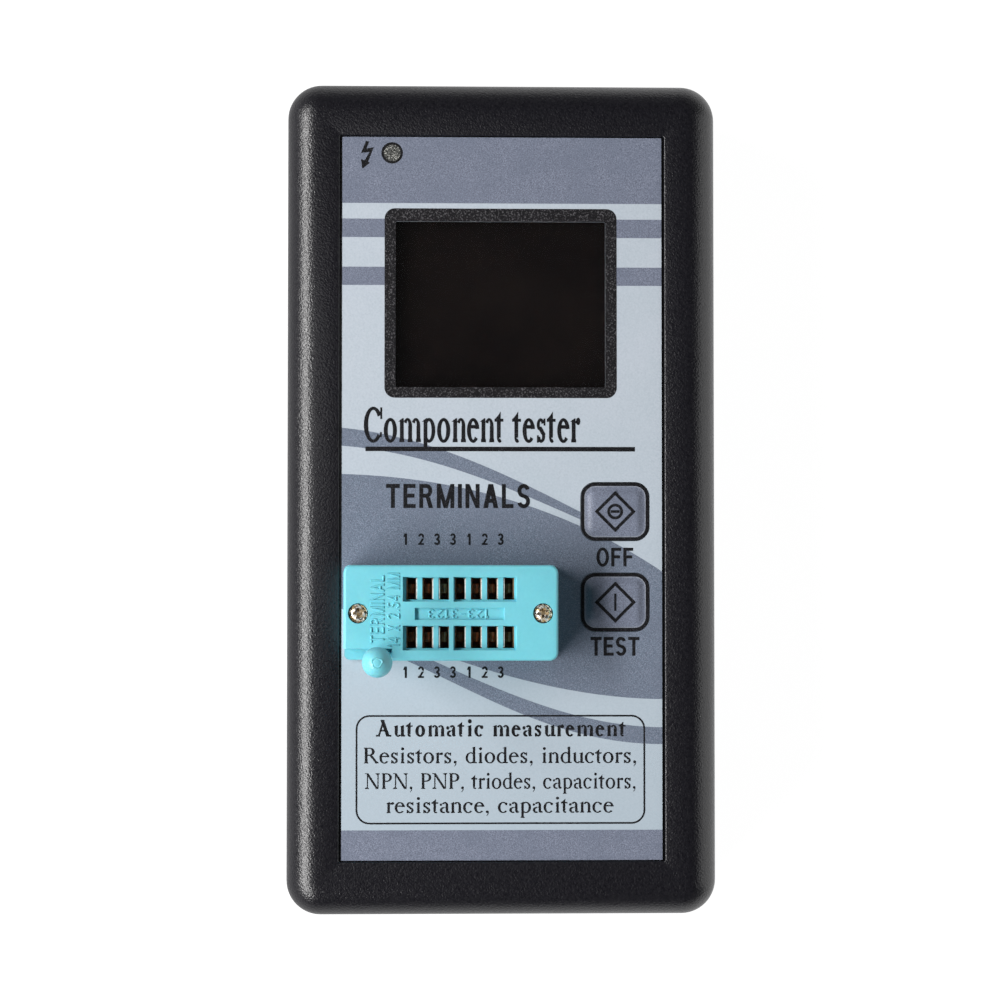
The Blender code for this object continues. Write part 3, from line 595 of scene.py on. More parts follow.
def sans_face(s):
    """Bold condensed capitals and digits with strokes s wide, and their height."""
    half = (1000 + s) / 4
    bowl = arc(300, 1000 - 285, 250, 285, s, s, -90, 90)
    wide = s * 1.2
    stem, foot = bar(0, 0, s, 1000), bar(0, 0, 520, s)
    glyphs = {
        "A": (640, [slant(0, 0, 320 - s * 0.6, 1000, wide), slant(640 - wide, 0, 320 - s * 0.6, 1000, wide),
                    bar(140, 220, 500, 220 + s)]),
        "E": (520, [stem, foot, bar(0, 430, 470, 430 + s), bar(0, 1000 - s, 510, 1000)]),
        "F": (500, [stem, bar(0, 430, 450, 430 + s), bar(0, 1000 - s, 500, 1000)]),
        "I": (s, [stem]),
        "L": (490, [stem, bar(0, 0, 490, s)]),
        "M": (740, [stem, bar(740 - s, 0, 740, 1000), slant(370 - s / 2, 0, 0, 1000, s),
                    slant(370 - s / 2, 0, 740 - s, 1000, s)]),
        "N": (600, [stem, bar(600 - s, 0, 600, 1000), slant(600 - s, 0, 0, 1000, s)]),
        "O": (640, arc(320, 500, 320, 515, s, s * 0.95)),
        "R": (590, [stem, bar(0, 1000 - s, 310, 1000), bar(0, 430, 310, 430 + s),
                    slant(590 - s * 1.15, 0, 270, 450, s * 1.1), *bowl]),
        "S": (560, [*arc(280, 1000 - half + 10, 262, half, s, s, 15, 275),
                    *arc(280, half - 10, 272, half, s, s, -165, 95)]),
        "T": (580, [bar(0, 1000 - s, 580, 1000), bar(290 - s / 2, 0, 290 + s / 2, 1000)]),
        "1": (300, [bar(160, 0, 160 + s, 1000), slant(30, 700, 130, 1000, s)]),
        "2": (540, [*arc(270, 720, 265, 290, s, s, -25, 175), slant(0, 0, 340, 560, s * 1.1),
                    bar(0, 0, 530, s * 0.85)]),
        "3": (540, [*arc(260, 735, 250, 275, s, s, -90, 165), *arc(260, 275, 270, 285, s, s, -165, 90),
                    bar(190, 500 - s / 2, 300, 500 + s / 2)]),
        "4": (560, [bar(350, 0, 350 + s, 1000), bar(0, 230, 560, 230 + s), slant(0, 300, 350, 1000, s)]),
        "5": (540, [bar(60, 1000 - s, 500, 1000), bar(60, 560, 60 + s, 1000),
                    *arc(255, 310, 275, 320, s, s, -165, 130)]),
        "X": (600, [slant(0, 0, 600 - wide, 1000, wide), slant(600 - wide, 0, 0, 1000, wide)]),
        ".": (260, [bar(60, 0, 60 + s * 1.1, s * 1.1)]),
        "-": (420, [bar(40, 420, 380, 420 + s)]),
        " ": (330, []),
    }
    return glyphs, 1000


# Heights of the serif letters, in 1000ths of their body.
CAP = 662
ASCENDER = 683
BODY_HEIGHT = 450


def serif_face(stem, hair, descent=217):
    """Upright serif letters with thick stems and thin hairlines, and their capitals' height."""

    def foot(x, spread, y=0, up=True):
        """A bracketed serif centred on a stem."""
        side = 1 if up else -1
        shape = [(x - spread, y), (x + spread, y), (x + spread, y + side * hair * 0.6),
                 (x + stem / 2 + 12, y + side * hair), (x + stem / 2, y + side * 70),
                 (x - stem / 2, y + side * 70), (x - stem / 2 - 12, y + side * hair),
                 (x - spread, y + side * hair * 0.6)]
        return shape if up else shape[::-1]

    def flag(x, y):
        """The sloping start of a lower-case stem."""
        return [(x - 62, y - 62), (x, y - 58), (x, y - 90), (x + stem, y - 60), (x + stem, y + 8),
                (x + stem * 0.7, y + 8)]

    def upright(x, bottom=0):
        return [bar(x, bottom, x + stem, BODY_HEIGHT - 20), flag(x, BODY_HEIGHT),
                foot(x + stem / 2, 82, bottom)]

    def arch(x):
        """From a stem at x over to a stem at x + 276."""
        reach = (276 + 22) / 2
        return [*arc(x + stem - 22 + reach, 300, reach, 162, stem, 52, 0, 150),
                bar(x + 276, 0, x + 276 + stem, 305), foot(x + 276 + stem / 2, 82)]

    wide = stem * 1.15
    middle = 100 + stem * 0.57
    capital = [bar(100, 0, 100 + wide, CAP), foot(middle, 92), foot(middle, 92, CAP, False)]
    glyphs = {
        "A": (722, [slant(92, 0, 322, CAP, hair * 1.3), slant(560 - wide / 2, 0, 372 - wide, CAP + 12, wide),
                    bar(190, 205, 500, 205 + hair), foot(105, 92), foot(602, 105)]),
        "C": (667, [*arc(350, 331, 318, 345, wide, hair, 33, 322), bar(582, 440, 582 + hair, CAP),
                    bar(572, 95, 572 + hair, 190)]),
        "N": (722, [bar(110, 0, 110 + hair, CAP), bar(590, 20, 590 + hair, CAP), foot(110, 95),
                    slant(590 + hair - wide, 0, 62, CAP, wide), foot(600, 95, CAP, False),
                    bar(15, CAP - hair * 0.7, 170, CAP)]),
        "P": (556, [*capital, bar(100, CAP - hair, 290, CAP), bar(100, 300, 290, 300 + hair),
                    *arc(290, 481, 235, 181, wide, hair, -90, 90)]),
        "R": (667, [*capital, bar(100, CAP - hair, 290, CAP), bar(100, 320, 290, 320 + hair),
                    *arc(290, 491, 215, 171, wide, hair, -90, 90), slant(545, 0, 290, 335, wide),
                    foot(590, 75)]),
        "a": (444, [*arc(275 + stem - 130, 330, 130, 130, stem, hair * 1.2, 0, 155),
                    disc(82, 345, stem * 0.52), bar(275, 70, 275 + stem, 335),
                    *arc(185, 118, 145, 128, stem, hair * 1.2, 70, 300),
                    slant(215, 215, 275, 262, hair * 1.5),
                    [(275, 80), (275 + stem, 80), (440, 45), (432, 14), (345, -10), (290, 30)]]),
        "c": (444, [*arc(238, 225, 212, 238, stem * 1.05, hair, 52, 318), disc(360, 372, stem * 0.55)]),
        "d": (500, [bar(330, 0, 330 + stem, ASCENDER), flag(330, ASCENDER),
                    bar(330, 0, 330 + stem + 62, hair), *arc(245, 225, 215, 238, stem, hair, 55, 305)]),
        "e": (444, [*arc(235, 225, 208, 238, stem * 1.05, hair, 8, 318),
                    bar(70, 262, 430, 262 + hair * 1.1)]),
        "i": (278, [*upright(97), disc(97 + stem / 2, 610, stem * 0.65)]),
        "m": (778, [*upright(70), *arch(70), *arch(346)]),
        "n": (500, [*upright(70), *arch(70)]),
        "o": (500, arc(250, 225, 222, 238, stem * 1.08, hair)),
        "p": (500, [*upright(80, bottom=-descent), *arc(262, 225, 210, 238, stem, hair, -125, 125)]),
        "r": (333, [*upright(70), *arc(70 + stem + 92, 330, 112, 120, stem * 0.8, 55, 55, 160),
                    disc(285, 402, stem * 0.58)]),
        "s": (389, [*arc(188, 335, 132, 125, stem * 0.9, hair, 15, 235),
                    *arc(205, 118, 135, 128, stem * 0.9, hair, -172, 55), slant(215, 150, 72, 300, wide),
                    bar(286, 320, 286 + hair, 455), bar(66, -5, 66 + hair, 135)]),
        "t": (200 + stem, [bar(82, 90, 82 + stem, 470), bar(5, 392, 82 + stem + 92, 450),
                           [(82 + stem, 440), (82 + stem, 590), (66 + stem * 0.5, 520), (12, 440)],
                           *arc(82 + 95, 100, 95, 110, stem, hair * 1.2, 180, 310)]),
        "u": (500, [bar(70, 130, 70 + stem, 430), flag(70, BODY_HEIGHT), bar(346, 20, 346 + stem, 430),
                    flag(346, BODY_HEIGHT), bar(346, 0, 346 + stem + 60, hair),
                    *arc(70 + 155, 150, 155, 160, stem, 50, 180, 325)]),
        ",": (250, [disc(115, 45, stem * 0.62),
                    [(150, 60), (172, 20), (150, -70), (85, -140), (72, -125), (125, -40)]]),
        " ": (260, []),
    }
    return glyphs, CAP


def lettering(text, face, height, span, baseline, spacing):
    """Outlines of a line of text whose ink fills a span in x, with its capitals this high."""
    glyphs, cap_height = face
    cursor = 0
    shapes = []
    for letter in text:
        advance, outlines = glyphs[letter]
        shapes += [[(x + cursor, y) for x, y in outline] for outline in outlines]
        cursor += advance + spacing
    left = min(x for shape in shapes for x, _ in shape)
    right = max(x for shape in shapes for x, _ in shape)
    scale_x = (span[1] - span[0]) / (right - left)
    scale_y = height / cap_height
    return [[(span[0] + (x - left) * scale_x, baseline + y * scale_y) for x, y in shape] for shape in shapes]


# ================================================================ case

CASE_SIZE = plan("front_case")[0]
CASE_CORNER = 5.5
CASE_STEPS = 14
EDGE_RADIUS = 5.0
WALL = 2.4
PANEL_UNDERSIDE = 22.6
RECESS = (52.0, 116.0)
RECESS_CORNER = 0.3
RECESS_FLOOR = 24.0


def case_outline(inset):
    corner = max(CASE_CORNER - inset, 0.5)
    return rounded_outline(shrink(CASE_SIZE, inset), corner, steps=CASE_STEPS)


def front_rings(low, high):
    """Rings from the ceiling down inside, round the parting edge, over the rim and into the recess."""
    lip_gap, lip_top, chamfer, rim = 1.2, 14.1, 0.18, 0.22
    inner = rounded_outline(shrink(CASE_SIZE, WALL), CASE_CORNER - WALL, steps=CASE_STEPS)
    rings = [at_height(inner, PANEL_UNDERSIDE), at_height(inner, lip_top),
             at_height(case_outline(lip_gap), lip_top), at_height(case_outline(lip_gap), low[2]),
             at_height(case_outline(chamfer), low[2]), at_height(case_outline(0), low[2] + chamfer)]
    for across, up in quarter_turn(16):
        outline = case_outline(EDGE_RADIUS * (1 - across))
        rings.append(at_height(outline, high[2] - EDGE_RADIUS * (1 - up)))
    for across, up in quarter_turn(3):
        grow = rim * (1 - up)
        outline = rounded_outline(shrink(RECESS, -grow), RECESS_CORNER + grow, steps=CASE_STEPS)
        rings.append(at_height(outline, high[2] - rim * (1 - across)))
    recess = rounded_outline(RECESS, RECESS_CORNER, steps=CASE_STEPS)
    return rings + [at_height(recess, RECESS_FLOOR)]


def front_openings(end_y):
    """Cutters for the display, screws, keys, socket, lamp and charging socket."""
    through = (PANEL_UNDERSIDE - 1, RECESS_FLOOR + 1)
    tools = [slab("cut_display", (36.0, 29.0), 0.5, through, WINDOW_CENTRE)]
    for i in CORNERS:
        tools.append(post(f"cut_pilot_{i}", 1.5, (13.0, 21.0), f"case_screw_{i}", 16))
        tools.append(post(f"cut_board_pilot_{i}", 1.2, (19.0, 22.5), f"pcb_screw_{i}", 16))
    for name, (size, centre) in KEYS.items():
        tools.append(slab("cut_" + name, shrink(size, -FIT_GAP), KEY_CORNER + FIT_GAP, through, centre))
    tools.append(slab("cut_socket", shrink(SOCKET_SIZE, -FIT_GAP), SOCKET_CORNER, through, SOCKET_CENTRE))
    tools.append(post("cut_lamp", 1.8, through, "charge_led"))
    (left, _, under), (right, _, over) = mm_box("usb_port")
    gap = 0.5
    size = (right - left + 2 * gap, over - under + 2 * gap)
    mouth = rounded_outline(size, 0.8, ((right + left) / 2, (over + under) / 2))
    tools.append(along_y("cut_usb", mouth[::-1], (end_y - WALL - 1, end_y + 1)))
    return tools


def front_shell():
    """Front half with a finely rounded edge, the film recess, its openings and its screw posts."""
    low, high = mm_box("front_case")
    shell = loft("front_shell", front_rings(low, high), smooth_angle=None)
    post_top = PANEL_UNDERSIDE + 0.4
    posts = [post(f"boss_{i}", 3.0, (14.0, post_top), f"case_screw_{i}") for i in CORNERS]
    posts += [post(f"stud_{i}", 2.6, (20.3, post_top), f"pcb_screw_{i}") for i in CORNERS]
    carve(shell, posts, "UNION")
    carve(shell, front_openings(high[1]))
    smooth(shell.data, 32)
    settle(shell, "abs", "front_case")
    return shell


def round_cad_edges():
    """The larger CAD pieces that show as they are get finely rounded edges."""
    for node in ("rear_case", "battery_door", "zif_base"):
        add_bevel(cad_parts[node], 0.12, 2, 45)


# ================================================================ printed film

def bezier(points):
    """Points along a cubic curve."""
    steps, line = 24, []
    for i in range(steps + 1):
        t = i / steps
        u = 1 - t
        weights = (u ** 3, 3 * u * u * t, 3 * u * t * t, t ** 3)
        line.append(tuple(sum(w * point[k] for w, point in zip(weights, points)) for k in (0, 1)))
    return line


def film_outline():
    size, centre = plan("overlay_film")
    return rounded_outline(size, 0.08, centre, 3)


def film_holes():
    """Window, key and socket openings, in that order."""
    holes = [rounded_outline(shrink(WINDOW_SIZE, -0.1), 0.2, WINDOW_CENTRE, 2)]
    for size, centre in KEYS.values():
        holes.append(rounded_outline(shrink(size, -0.1), KEY_CORNER + 0.1, centre))
    holes.append(rounded_outline(shrink(SOCKET_SIZE, -0.03), SOCKET_CORNER, SOCKET_CENTRE))
    return holes


def swooshes():
    """Three sweeping grey bands that run across the panel behind the socket and the keys."""
    left, right = FILM_LOW[0] - 1, FILM_HIGH[0] + 1
    main_top = bezier([(left, 3.75), (-7.4, 3.4), (10.6, -1.5), (right, -12.5)])
    main_bottom = bezier([(left, -17.2), (-12.0, -25.5), (9.0, -32.4), (right, -32.2)])
    high_top = bezier([(left, 11.2), (-11.7, 10.0), (0.4, 3.9), (14.5, -3.3)])
    high_bottom = bezier([(left, 8.3), (-12.0, 7.4), (0.4, 1.9), (14.5, -4.4)])
    low_top = bezier([(-20.0, -22.0), (-2.0, -30.0), (11.0, -36.8), (right, -36.7)])
    low_bottom = bezier([(-20.0, -24.0), (-4.0, -30.5), (8.0, -39.6), (right, -39.4)])
    return [top + bottom[::-1] for top, bottom in
            ((main_top, main_bottom), (high_top, high_bottom), (low_top, low_bottom))]


def bands():
    """Straight grey bands across the top and the bottom of the film."""
    left, right = FILM_LOW[0] - 1, FILM_HIGH[0] + 1
    spans = [(47.17, FILM_HIGH[1] + 1), (41.68, 44.65), (33.99, 36.92), (FILM_LOW[1] - 1, -53.0)]
    return [bar(left, low, right, high) for low, high in spans]


def printed(name, shapes, exclude=(), within=(), level=2, look="ink", body="case", base=FILM_TOP):
    """A layer of print on the film. A higher level lies on top of a lower one."""
    layer = planar(name, shapes, exclude, within, (base - 0.004, base + PRINT_STEP * level))
    settle(layer, look, body=body)


def printed_film():
    outline = film_outline()
    holes = film_holes()
    film = planar("printed_film", [outline], holes, (), (FILM_LOW[2], FILM_TOP))
    settle(film, "film_light", "overlay_film")
    printed("grey_bands", bands(), holes, [outline], 1, "film_grey")
    printed("grey_swooshes", swooshes(), holes, [outline], 1, "film_slate")
    border = rounded_outline((37.2, 30.4), 1.65, (WINDOW_CENTRE[0] + 0.04, WINDOW_CENTRE[1] + 0.19))
    printed("display_border", [border], holes[:1], look="border")


def charge_mark():
    """A ring round the lamp and a lightning arrow beside it."""
    x, y = plan("charge_led")[1]
    printed("lamp_ring", [circle(1.72, 48, (x, y))], [circle(1.33, 48, (x, y))])
    profile = [(1.4, FILM_TOP - 0.05), (1.4, FILM_TOP + 0.006), (1.0, FILM_TOP + 0.02)]
    settle(turned("lamp_lens", profile, (x, y)), "lamp")
    bolt = [[(-4.2, 1.92), (-4.98, -0.02), (-4.2, 0.45), (-3.66, 1.82)],
            [(-4.98, -0.02), (-3.5, 0.14), (-2.95, 0.9), (-4.35, 0.64)],
            [(-2.95, 0.9), (-3.64, 0.1), (-4.46, -1.3), (-3.86, -1.5)],
            [(-5.0, -1.02), (-4.76, -2.56), (-3.52, -1.62), (-4.1, -1.3)]]
    printed("lightning_arrow", [[(x + dx, y + dy) for dx, dy in part] for part in bolt])


def words(name, text, face, height, span, baseline, spacing=0, level=2):
    printed(name, lettering(text, face, height, span, baseline, spacing), level=level)


def panel_text():
    """Generic wording in the places where the panel carries print."""
    words("title_text", "Component tester", serif_face(126, 62, 150), 5.56, (-22.1, 12.54), 8.82, level=3)
    printed("title_rule", [bar(-21.83, 7.38, 21.3, 8.1)])
    words("heading_text", "TERMINALS", sans_face(168), 3.85, (-18.53, 4.48), -1.71, 150)
    words("off_text", "OFF", sans_face(165), 3.0, (15.08, 20.99), -11.03, 110)
    words("test_text", "TEST", sans_face(170), 3.0, (14.13, 21.97), -25.28, 95)
    digits = sans_face(185)
    offset = -1.05
    for place, baseline in (("above", -7.6), ("below", -28.8)):
        for i, (digit, x) in enumerate(zip("1233123", SLOT_X), start=1):
            half = 0.3 if digit == "1" else 0.49
            span = (x + offset - half, x + offset + half)
            words(f"pin_number_{place}_{i}", digit, digits, 1.83, span, baseline)


def info_box():
    """A thin rounded frame with four lines of plain description."""
    centre, size = (-0.23, -43.38), (46.17, 17.35)
    corner, line = 2.2, 0.28
    inside = rounded_outline(shrink(size, line), corner - line, centre)
    printed("info_frame", [rounded_outline(size, corner, centre)], [inside])
    regular, heavy = serif_face(98, 48), serif_face(138, 66)
    lines = [("Automatic measurement", heavy, 2.62, (-20.1, 19.7), -38.12, 62),
             ("Resistors, diodes, inductors,", regular, 2.5, (-22.0, 21.4), -42.37),
             ("NPN, PNP, triodes, capacitors,", regular, 2.5, (-21.85, 21.3), -46.44),
             ("resistance, capacitance", regular, 2.5, (-18.5, 17.8), -50.26)]
    for i, line in enumerate(lines, start=1):
        words(f"info_line_{i}", *line)


def key_pad(name, size, centre, low, high):
    """Flat under the outline, then an eased slope up to the pressed face."""
    margin, slope, steps = 0.62, 1.5, 8
    levels = [(0.0, low[2]), (0.0, FILM_TOP - 0.02), (0.02, FILM_TOP), (margin, FILM_TOP)]
    rise = high[2] - FILM_TOP
    for step in range(1, steps + 1):
        part = step / steps
        levels.append((margin + slope * part, FILM_TOP + rise * (1 - math.cos(math.pi * part)) / 2))
    rings = []
    for inset, z in levels:
        outline = rounded_outline(shrink(size, inset), max(KEY_CORNER - inset, 0.7), centre)
        rings.append(at_height(outline, z))
    pad = loft(name + "_key_face", rings, smooth_angle=50)
    settle(pad, "film_grey", name + "_key_pad", name + "_key")


def key_face(name):
    """One raised key: its pad, a heavy outline with a painted rim highlight as a pale ring inside it, a
    diamond and its sign.
    """
    size, centre = KEYS[name]
    low, high = mm_box(name + "_key_pad")
    key_pad(name, size, centre, low, high)
    body = name + "_key"
    stroke, pale = 0.54, 0.70
    outline = rounded_outline(shrink(size, 0.01), KEY_CORNER, centre)
    inside = rounded_outline(shrink(size, stroke), KEY_CORNER - stroke, centre)
    printed(name + "_key_outline", [outline], [inside], body=body)
    # painted highlight: a pale ring where the pad's raised rim catches the light
    edge = rounded_outline(shrink(size, pale), KEY_CORNER - pale, centre)
    printed(name + "_key_rim_highlight", [inside], [edge], (), 1, "film_rim_highlight", body)
    raised = {"body": body, "base": high[2]}
    x, y = centre
    diamond, hole = [[(x + reach, y), (x, y + reach), (x - reach, y), (x, y - reach)] for reach in (3.3, 2.6)]
    printed(name + "_key_diamond", [diamond], [hole], **raised)
    if name == "off":
        printed("off_key_ring", [circle(1.26, 40, centre)], [circle(0.8, 40, centre)], **raised)
        printed("off_key_bar", [bar(x - 0.72, y - 0.22, x + 0.72, y + 0.22)], **raised)
    else:
        printed("test_key_bar", [bar(x - 0.18, y - 1.38, x + 0.18, y + 1.38)], **raised)


# ================================================================ test socket

NOTCH_RIGHT = -17.5
NOTCH_TOP = -23.97
LABEL_DEPTH = 0.55
WINDOW_SPANS = [(-15.81, -8.57), (-7.87, 2.03)]
CONTACT_TOP = SOCKET_TOP - 1.1
CAM_OFFSET = 0.25 * math.sqrt(0.5)
KNOB_Y = -25.85
KNOB_RADIUS = 2.35
KNOB_DOME = 2.6


def cover_openings(low, high):
    """Cutters for the notch, label, windows, slots, room for the contacts and the screws' seats."""
    top, bottom = high[2] + 1, low[2] - 1
    window_floor = high[2] - 1.0
    tools = [block("cut_notch", (-27, -27, bottom), (NOTCH_RIGHT, NOTCH_TOP, top)),
             block("cut_label", (-13.94, -19.48, high[2] - LABEL_DEPTH), (0.09, -17.60, top))]
    for row, y in ROW_Y.items():
        for i, (left, right) in enumerate(WINDOW_SPANS):
            tools.append(block(f"cut_window_{row}_{i}", (left, y - 1.93, window_floor),
                               (right, y + 1.93, top)))
        for i, x in zip(PINS, SLOT_X):
            tools.append(block(f"cut_slot_{row}_{i}", (x - 0.87, y - 1.62, window_floor - 0.5),
                               (x + 0.87, y + 1.86, window_floor + 0.1)))
            tools.append(block(f"cut_room_{row}_{i}", (x - 1.05, y - 1.8, bottom),
                               (x + 1.05, y + 1.8, window_floor - 0.4)))
    for side in SIDES:
        centre = plan("zif_screw_" + side)[1]
        seat = [(1.56, high[2] - 1.3), (1.56, high[2] - 0.2), (1.68, top)]
        tools.append(turned("cut_seat_" + side, seat, centre))
        tools.append(turned("cut_hole_" + side, [(0.95, bottom), (0.95, top)], centre))
    return tools


def socket_cover():
    low, high = mm_box("zif_cover")
    fillet, corner = 0.45, 1.3
    levels = [(0.0, low[2])] + [(fillet * (1 - across), high[2] - fillet * (1 - up))
                                for across, up in quarter_turn(5)]
    cover = loft("socket_cover", [
        at_height(rounded_outline(shrink(SOCKET_SIZE, inset), corner - inset, SOCKET_CENTRE), z)
        for inset, z in levels])
    carve(cover, cover_openings(low, high))
    soften(cover, 0.1)
    settle(cover, "teal", "zif_cover")


def socket_marks():
    """Raised generic marks on the cover and in its label recess."""
    face = sans_face(150)
    lines = [("cover_mark_socket", "TERMINAL", 2.2, (-23.1, -12.5), -18.72),
             ("cover_mark_rating", "14 X 2.54 MM", 1.95, (-23.7, -12.1), -16.3)]
    for name, text, height, span, baseline in lines:
        upright = lettering(text, face, height, span, 0.0, 120)
        raise_mark(name, [[(baseline - y, x) for x, y in shape] for shape in upright], SOCKET_TOP)
    flat = lettering("123-3123", face, 1.4, (2.3, 11.9), 0.0, 120)
    turned_round = [[(-x, -17.85 - y) for x, y in shape] for shape in flat]
    raise_mark("label_mark", turned_round, SOCKET_TOP - LABEL_DEPTH)


def raise_mark(name, shapes, height):
    """Moulded lettering that stands a little above a surface, with sloping sides."""
    builder = bmesh.new()
    for shape in shapes:
        outline = anticlockwise(shape)
        levels = ((outline, -0.08), (outline, 0.02), (inset(outline, 0.09), 0.2))
        add_loft(builder, [at_height(ring, height + z) for ring, z in levels])
    settle(new_piece(name, builder, smooth_angle=None), "teal")


def socket_lever():
    """Lever, domed knob, hub, shaft and cam as one smooth moulding."""
    axis_x, axis_z = -19.7, 28.0
    top = mm_box("zif_lever")[1][2]
    face, back = -25.7, -24.27
    middle, half = (face + back) / 2, (back - face) / 2 * 0.96
    arm = loft("lever_moulding", [
        [(axis_x + sx * w, middle + sy * half, axis_z + z) for sx, sy in FOUR_CORNERS]
        for w, z in ((1.5, 0.5), (1.1, 3.0), (1.0, 14.6))])
    soften(arm, 0.2, 3)

    def round_bar(name, radius, steps, span, offset=0.0):
        ring = circle(radius, steps, (axis_x - offset, axis_z - offset))
        return along_y(name, ring[::-1], span)

    parts = [round_bar("hub", 2.0, 48, (face, back)), round_bar("shaft", 1.1, 32, (back - 0.3, -12.1)),
             round_bar("cam", 1.4, 40, (-23.1, -13.7), CAM_OFFSET)]
    profile = [(1.1, top - 4.7), (1.7, top - 4.45), (2.1, top - 4.05), (2.3, top - 3.5)]
    profile += [(max(KNOB_RADIUS * across, 0.12), top - KNOB_DOME + KNOB_DOME * up)
                for across, up in quarter_turn(12)]
    parts.append(turned("knob", profile, (axis_x, KNOB_Y), 64))
    carve(arm, parts, "UNION")
    smooth(arm.data, 40)
    settle(arm, "teal", "zif_lever", "lever")
    gate_mark(axis_x, KNOB_Y, top)


def gate_mark(x, y, top):
    """The uneven ring that moulding leaves on top of the knob."""
    rings = []
    for scale, z in ((1.0, -0.35), (1.0, -0.13), (0.9, -0.045), (0.78, -0.06), (0.7, -0.12), (0.3, -0.10)):
        ring = []
        for i in range(28):
            turn = 2 * math.pi * i / 28
            reach = (0.86 + 0.09 * math.sin(3 * turn + 0.6) + 0.05 * math.sin(5 * turn)) * scale
            ring.append((x + reach * math.cos(turn), y + reach * math.sin(turn), top + z))
        rings.append(ring)
    settle(loft("knob_gate_mark", rings), "teal", body="lever")


def screw_head(name, node, radius, look, side=1):
    """A domed cross-head screw whose head looks up (side 1) or down (side -1)."""
    low, high = mm_box(node)
    x, y = plan(node)[1]
    top, shank_end = (high[2], low[2]) if side > 0 else (low[2], high[2])
    height = radius * 0.5
    profile = [(radius * 0.3, shank_end), (radius * 0.5, shank_end + side * 0.6)]
    for reach, depth in ((0.5, 1.0), (0.96, 1.0), (1.0, 0.92), (1.0, 0.5), (0.96, 0.36), (0.88, 0.33),
                         (0.8, 0.52)):
        profile.append((radius * reach, top - side * height * depth))
    profile += [(max(radius * 0.78 * across, 0.02), top - side * height * 0.46 * (1 - up))
                for across, up in quarter_turn(8, 1)]
    screw = turned(name, profile, (x, y))
    tools = []
    for i in range(2):
        reach, width = radius * 0.6, radius * 0.14
        rings = []
        for grow, z in ((0.45, -height * 0.75), (1.0, -height * 0.1), (1.15, height)):
            dx, dy = (reach * grow, width) if i == 0 else (width, reach * grow)
            rings.append([(x + sx * dx, y + sy * dy, top + side * z) for sx, sy in FOUR_CORNERS])
        tools.append(loft(f"cut_{name}_{i}", rings))
    carve(screw, tools)
    soften(screw, 0.04, 2, 30)
    settle(screw, look, node)


def fork_contact(name, node, x, y, long_left):
    """Two leaves on a stalk and a bridge between them, one leaf shorter than the other."""
    foot = mm_box(node)[0][2]
    short = CONTACT_TOP - 1.2
    left_tip, right_tip = (CONTACT_TOP, short) if long_left else (short, CONTACT_TOP)
    shape = [(-0.85, 21.1), (-0.25, 21.1), (-0.25, foot), (0.25, foot), (0.25, 21.1), (0.86, 21.1),
             (0.86, right_tip), (0.7, right_tip), (0.6, 29.8), (0.5, 26.5), (-0.5, 26.5), (-0.55, 29.6),
             (-0.69, left_tip), (-0.85, left_tip)]
    bridge = [(-0.55, 26.6), (0.52, 26.6), (0.5, 29.7), (0, 30.35), (-0.5, 29.7)]
    builder = bmesh.new()
    for outline, ends in ((shape[::-1], (-1.5, 1.7)), (bridge, (-0.6, 0.85))):
        add_loft(builder, [[(x + dx, y + end, z) for dx, z in outline] for end in ends])
    settle(new_piece(name, builder), "bronze", node)


def contacts():
    """Leaves in every slot; the longer one reaches up into the painted highlight. The right leaf is the
    longer one in most of them.
    """
    for row, y in ROW_Y.items():
        for i, x in zip(PINS, SLOT_X):
            fork_contact(f"fork_{row}_{i}", f"zif_contact_{row}_{i}", x, y, i in (3, 7))


# ================================================================ carried-over nodes

def dress_nodes():
    """Materials for the CAD nodes that keep their shape."""
    nodes = {
        "abs": ["rear_case", "battery_door"],
        "teal": ["zif_base"],
        "white": ["zif_slider", "display_frame", "charge_led"],
        "pane": ["display_window"],
        "glass": ["display_panel"],
        "board": ["main_pcb"],
        "flex": ["display_flex"],
        "chip": ["microcontroller", "charger_chip", "off_switch_body", "test_switch_body",
                 "off_switch_plunger", "test_switch_plunger"],
        "nickel": ["crystal", "capacitor", "usb_port", "battery_spring", "battery_contact_plate"],
        "sleeve": ["battery_cell"],
        "steel": [f"pcb_screw_{i}" for i in CORNERS],
    }
    for look, names in nodes.items():
        for node in names:
            dress(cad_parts[node], look)


# ================================================================ stage

def as_seen(tree, lighting, direct):
    """One brightness for what the surroundings cast on the object, another where the camera sees them."""
    path = add_node(tree, "ShaderNodeLightPath")
    mix = add_node(tree, "ShaderNodeMix", Factor=path.outputs["Is Camera Ray"], A=lighting, B=direct)
    return mix.outputs["Result"]


def floor():
    builder = bmesh.new()
    bmesh.ops.create_grid(builder, x_segments=1, y_segments=1, size=1.5)
    ground = new_piece("pale_floor", builder)
    ground.location.z = -0.00005
    surface = (Surface("pale_paper", (104, 104, 105), 0.85, specular=0.1)
               .mottle(30.0, (110, 110, 111), 0.5)
               .grain(0.8, 0.01))
    split = surface.add("ShaderNodeSeparateXYZ", Vector=surface.place)
    sides = map_range(surface.tree, split.outputs["X"], -0.08, 0.08, 0.4)
    surface.set(Emission_Color=(1, 1, 1, 1), Emission_Strength=as_seen(surface.tree, sides, 0.98))
    ground.data.materials.append(surface.material)


def soft_light(name, place, aim, size, power, colour=(1, 1, 1)):
    data = bpy.data.lights.new(name, "AREA")
    data.shape = "RECTANGLE"
    data.size, data.size_y = size
    data.energy = power
    data.color = colour
    light = bpy.data.objects.new(name, data)
    light.location = place
    light.visible_camera = False
    light.rotation_euler = (Vector(aim) - Vector(place)).to_track_quat("-Z", "Y").to_euler()
    bpy.context.scene.collection.objects.link(light)
    return light


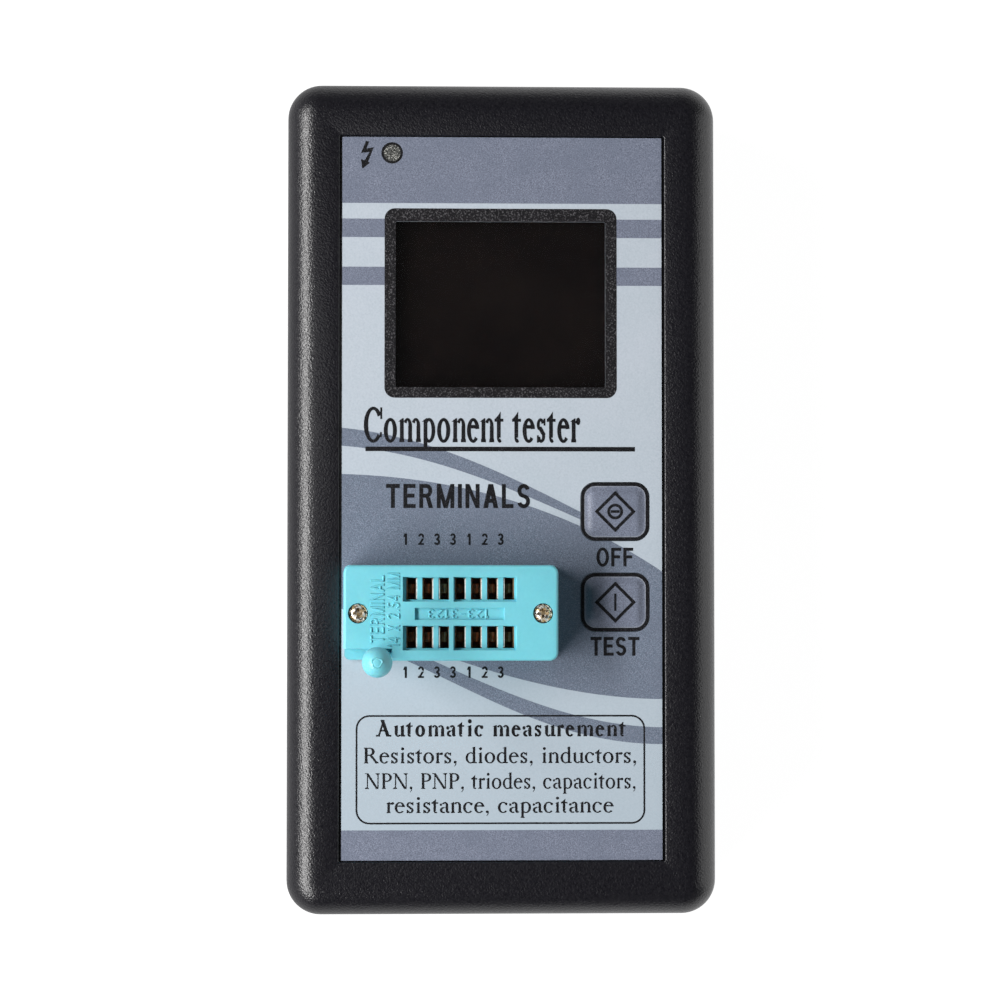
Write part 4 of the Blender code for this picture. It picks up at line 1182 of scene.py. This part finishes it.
def studio_world():
    """Bright near the horizon and dark overhead, as in a product tent seen from above."""
    world = bpy.data.worlds.new("studio")
    world.use_nodes = True
    tree = world.node_tree
    place = add_node(tree, "ShaderNodeTexCoord")
    split = add_node(tree, "ShaderNodeSeparateXYZ", Vector=place.outputs["Generated"])
    sideways = map_range(tree, split.outputs["X"], -0.9, 0.9, 0.1, 0.22)
    lengthways = map_range(tree, split.outputs["Y"], -0.9, 0.9, 0.6, 1.0)
    horizon = multiply(tree, sideways, lengthways)
    strength = map_range(tree, split.outputs["Z"], 0.45, 0.68, horizon, 0.043)
    plug(tree, tree.nodes["Background"],
         {"Color": (0.96, 0.98, 1.0, 1.0), "Strength": as_seen(tree, strength, 1.05)})
    bpy.context.scene.world = world
    bpy.context.scene.view_settings.view_transform = "Standard"


def light_only(light, pieces):
    """Let a light reach some pieces and no others."""
    reached = bpy.data.collections.new(light.name + "_reach")
    for piece in pieces:
        reached.objects.link(piece)
    light.light_linking.receiver_collection = reached


def lights():
    middle = (0.0, 0.0, 0.02)
    soft_light("key_left", (-0.56, -0.10, 0.50), middle, (1.05, 0.18), 11.3, (1.0, 0.99, 0.98))
    soft_light("panel_right", (0.60, 0.0, 0.20), (0.0, 0.0, 0.08), (0.55, 0.42), 0.85)
    sheen = soft_light("case_sheen", (-0.05, 0.022, 0.18), (-0.03, 0.01, 0.025), (0.04, 0.04), 0.0125)
    light_only(sheen, [bpy.data.objects["front_shell"]])


def camera():
    data = bpy.data.cameras.new("camera")
    data.lens = 101.4
    data.sensor_width = 36.0
    eye = Vector((-0.0147, -0.0151, 0.4743))
    toward = Vector((0.03195, 0.03266, -1.0))
    item = bpy.data.objects.new("camera", data)
    item.location = eye
    right = toward.cross(Vector((0, 1, 0))).normalized()
    up = right.cross(toward).normalized()
    item.rotation_euler = Matrix((right, up, -toward.normalized())).transposed().to_euler()
    bpy.context.scene.collection.objects.link(item)
    bpy.context.scene.camera = item


def main():
    front_shell()
    round_cad_edges()
    printed_film()
    charge_mark()
    panel_text()
    info_box()
    for name in KEYS:
        key_face(name)
    socket_cover()
    socket_marks()
    socket_lever()
    contacts()
    for side in SIDES:
        screw_head("socket_screw_" + side, "zif_screw_" + side, 1.48, "screw")
    for i in CORNERS:
        screw_head(f"shell_screw_{i}", f"case_screw_{i}", 2.35, "steel", -1)
    dress_nodes()
    floor()
    studio_world()
    lights()
    camera()


main()
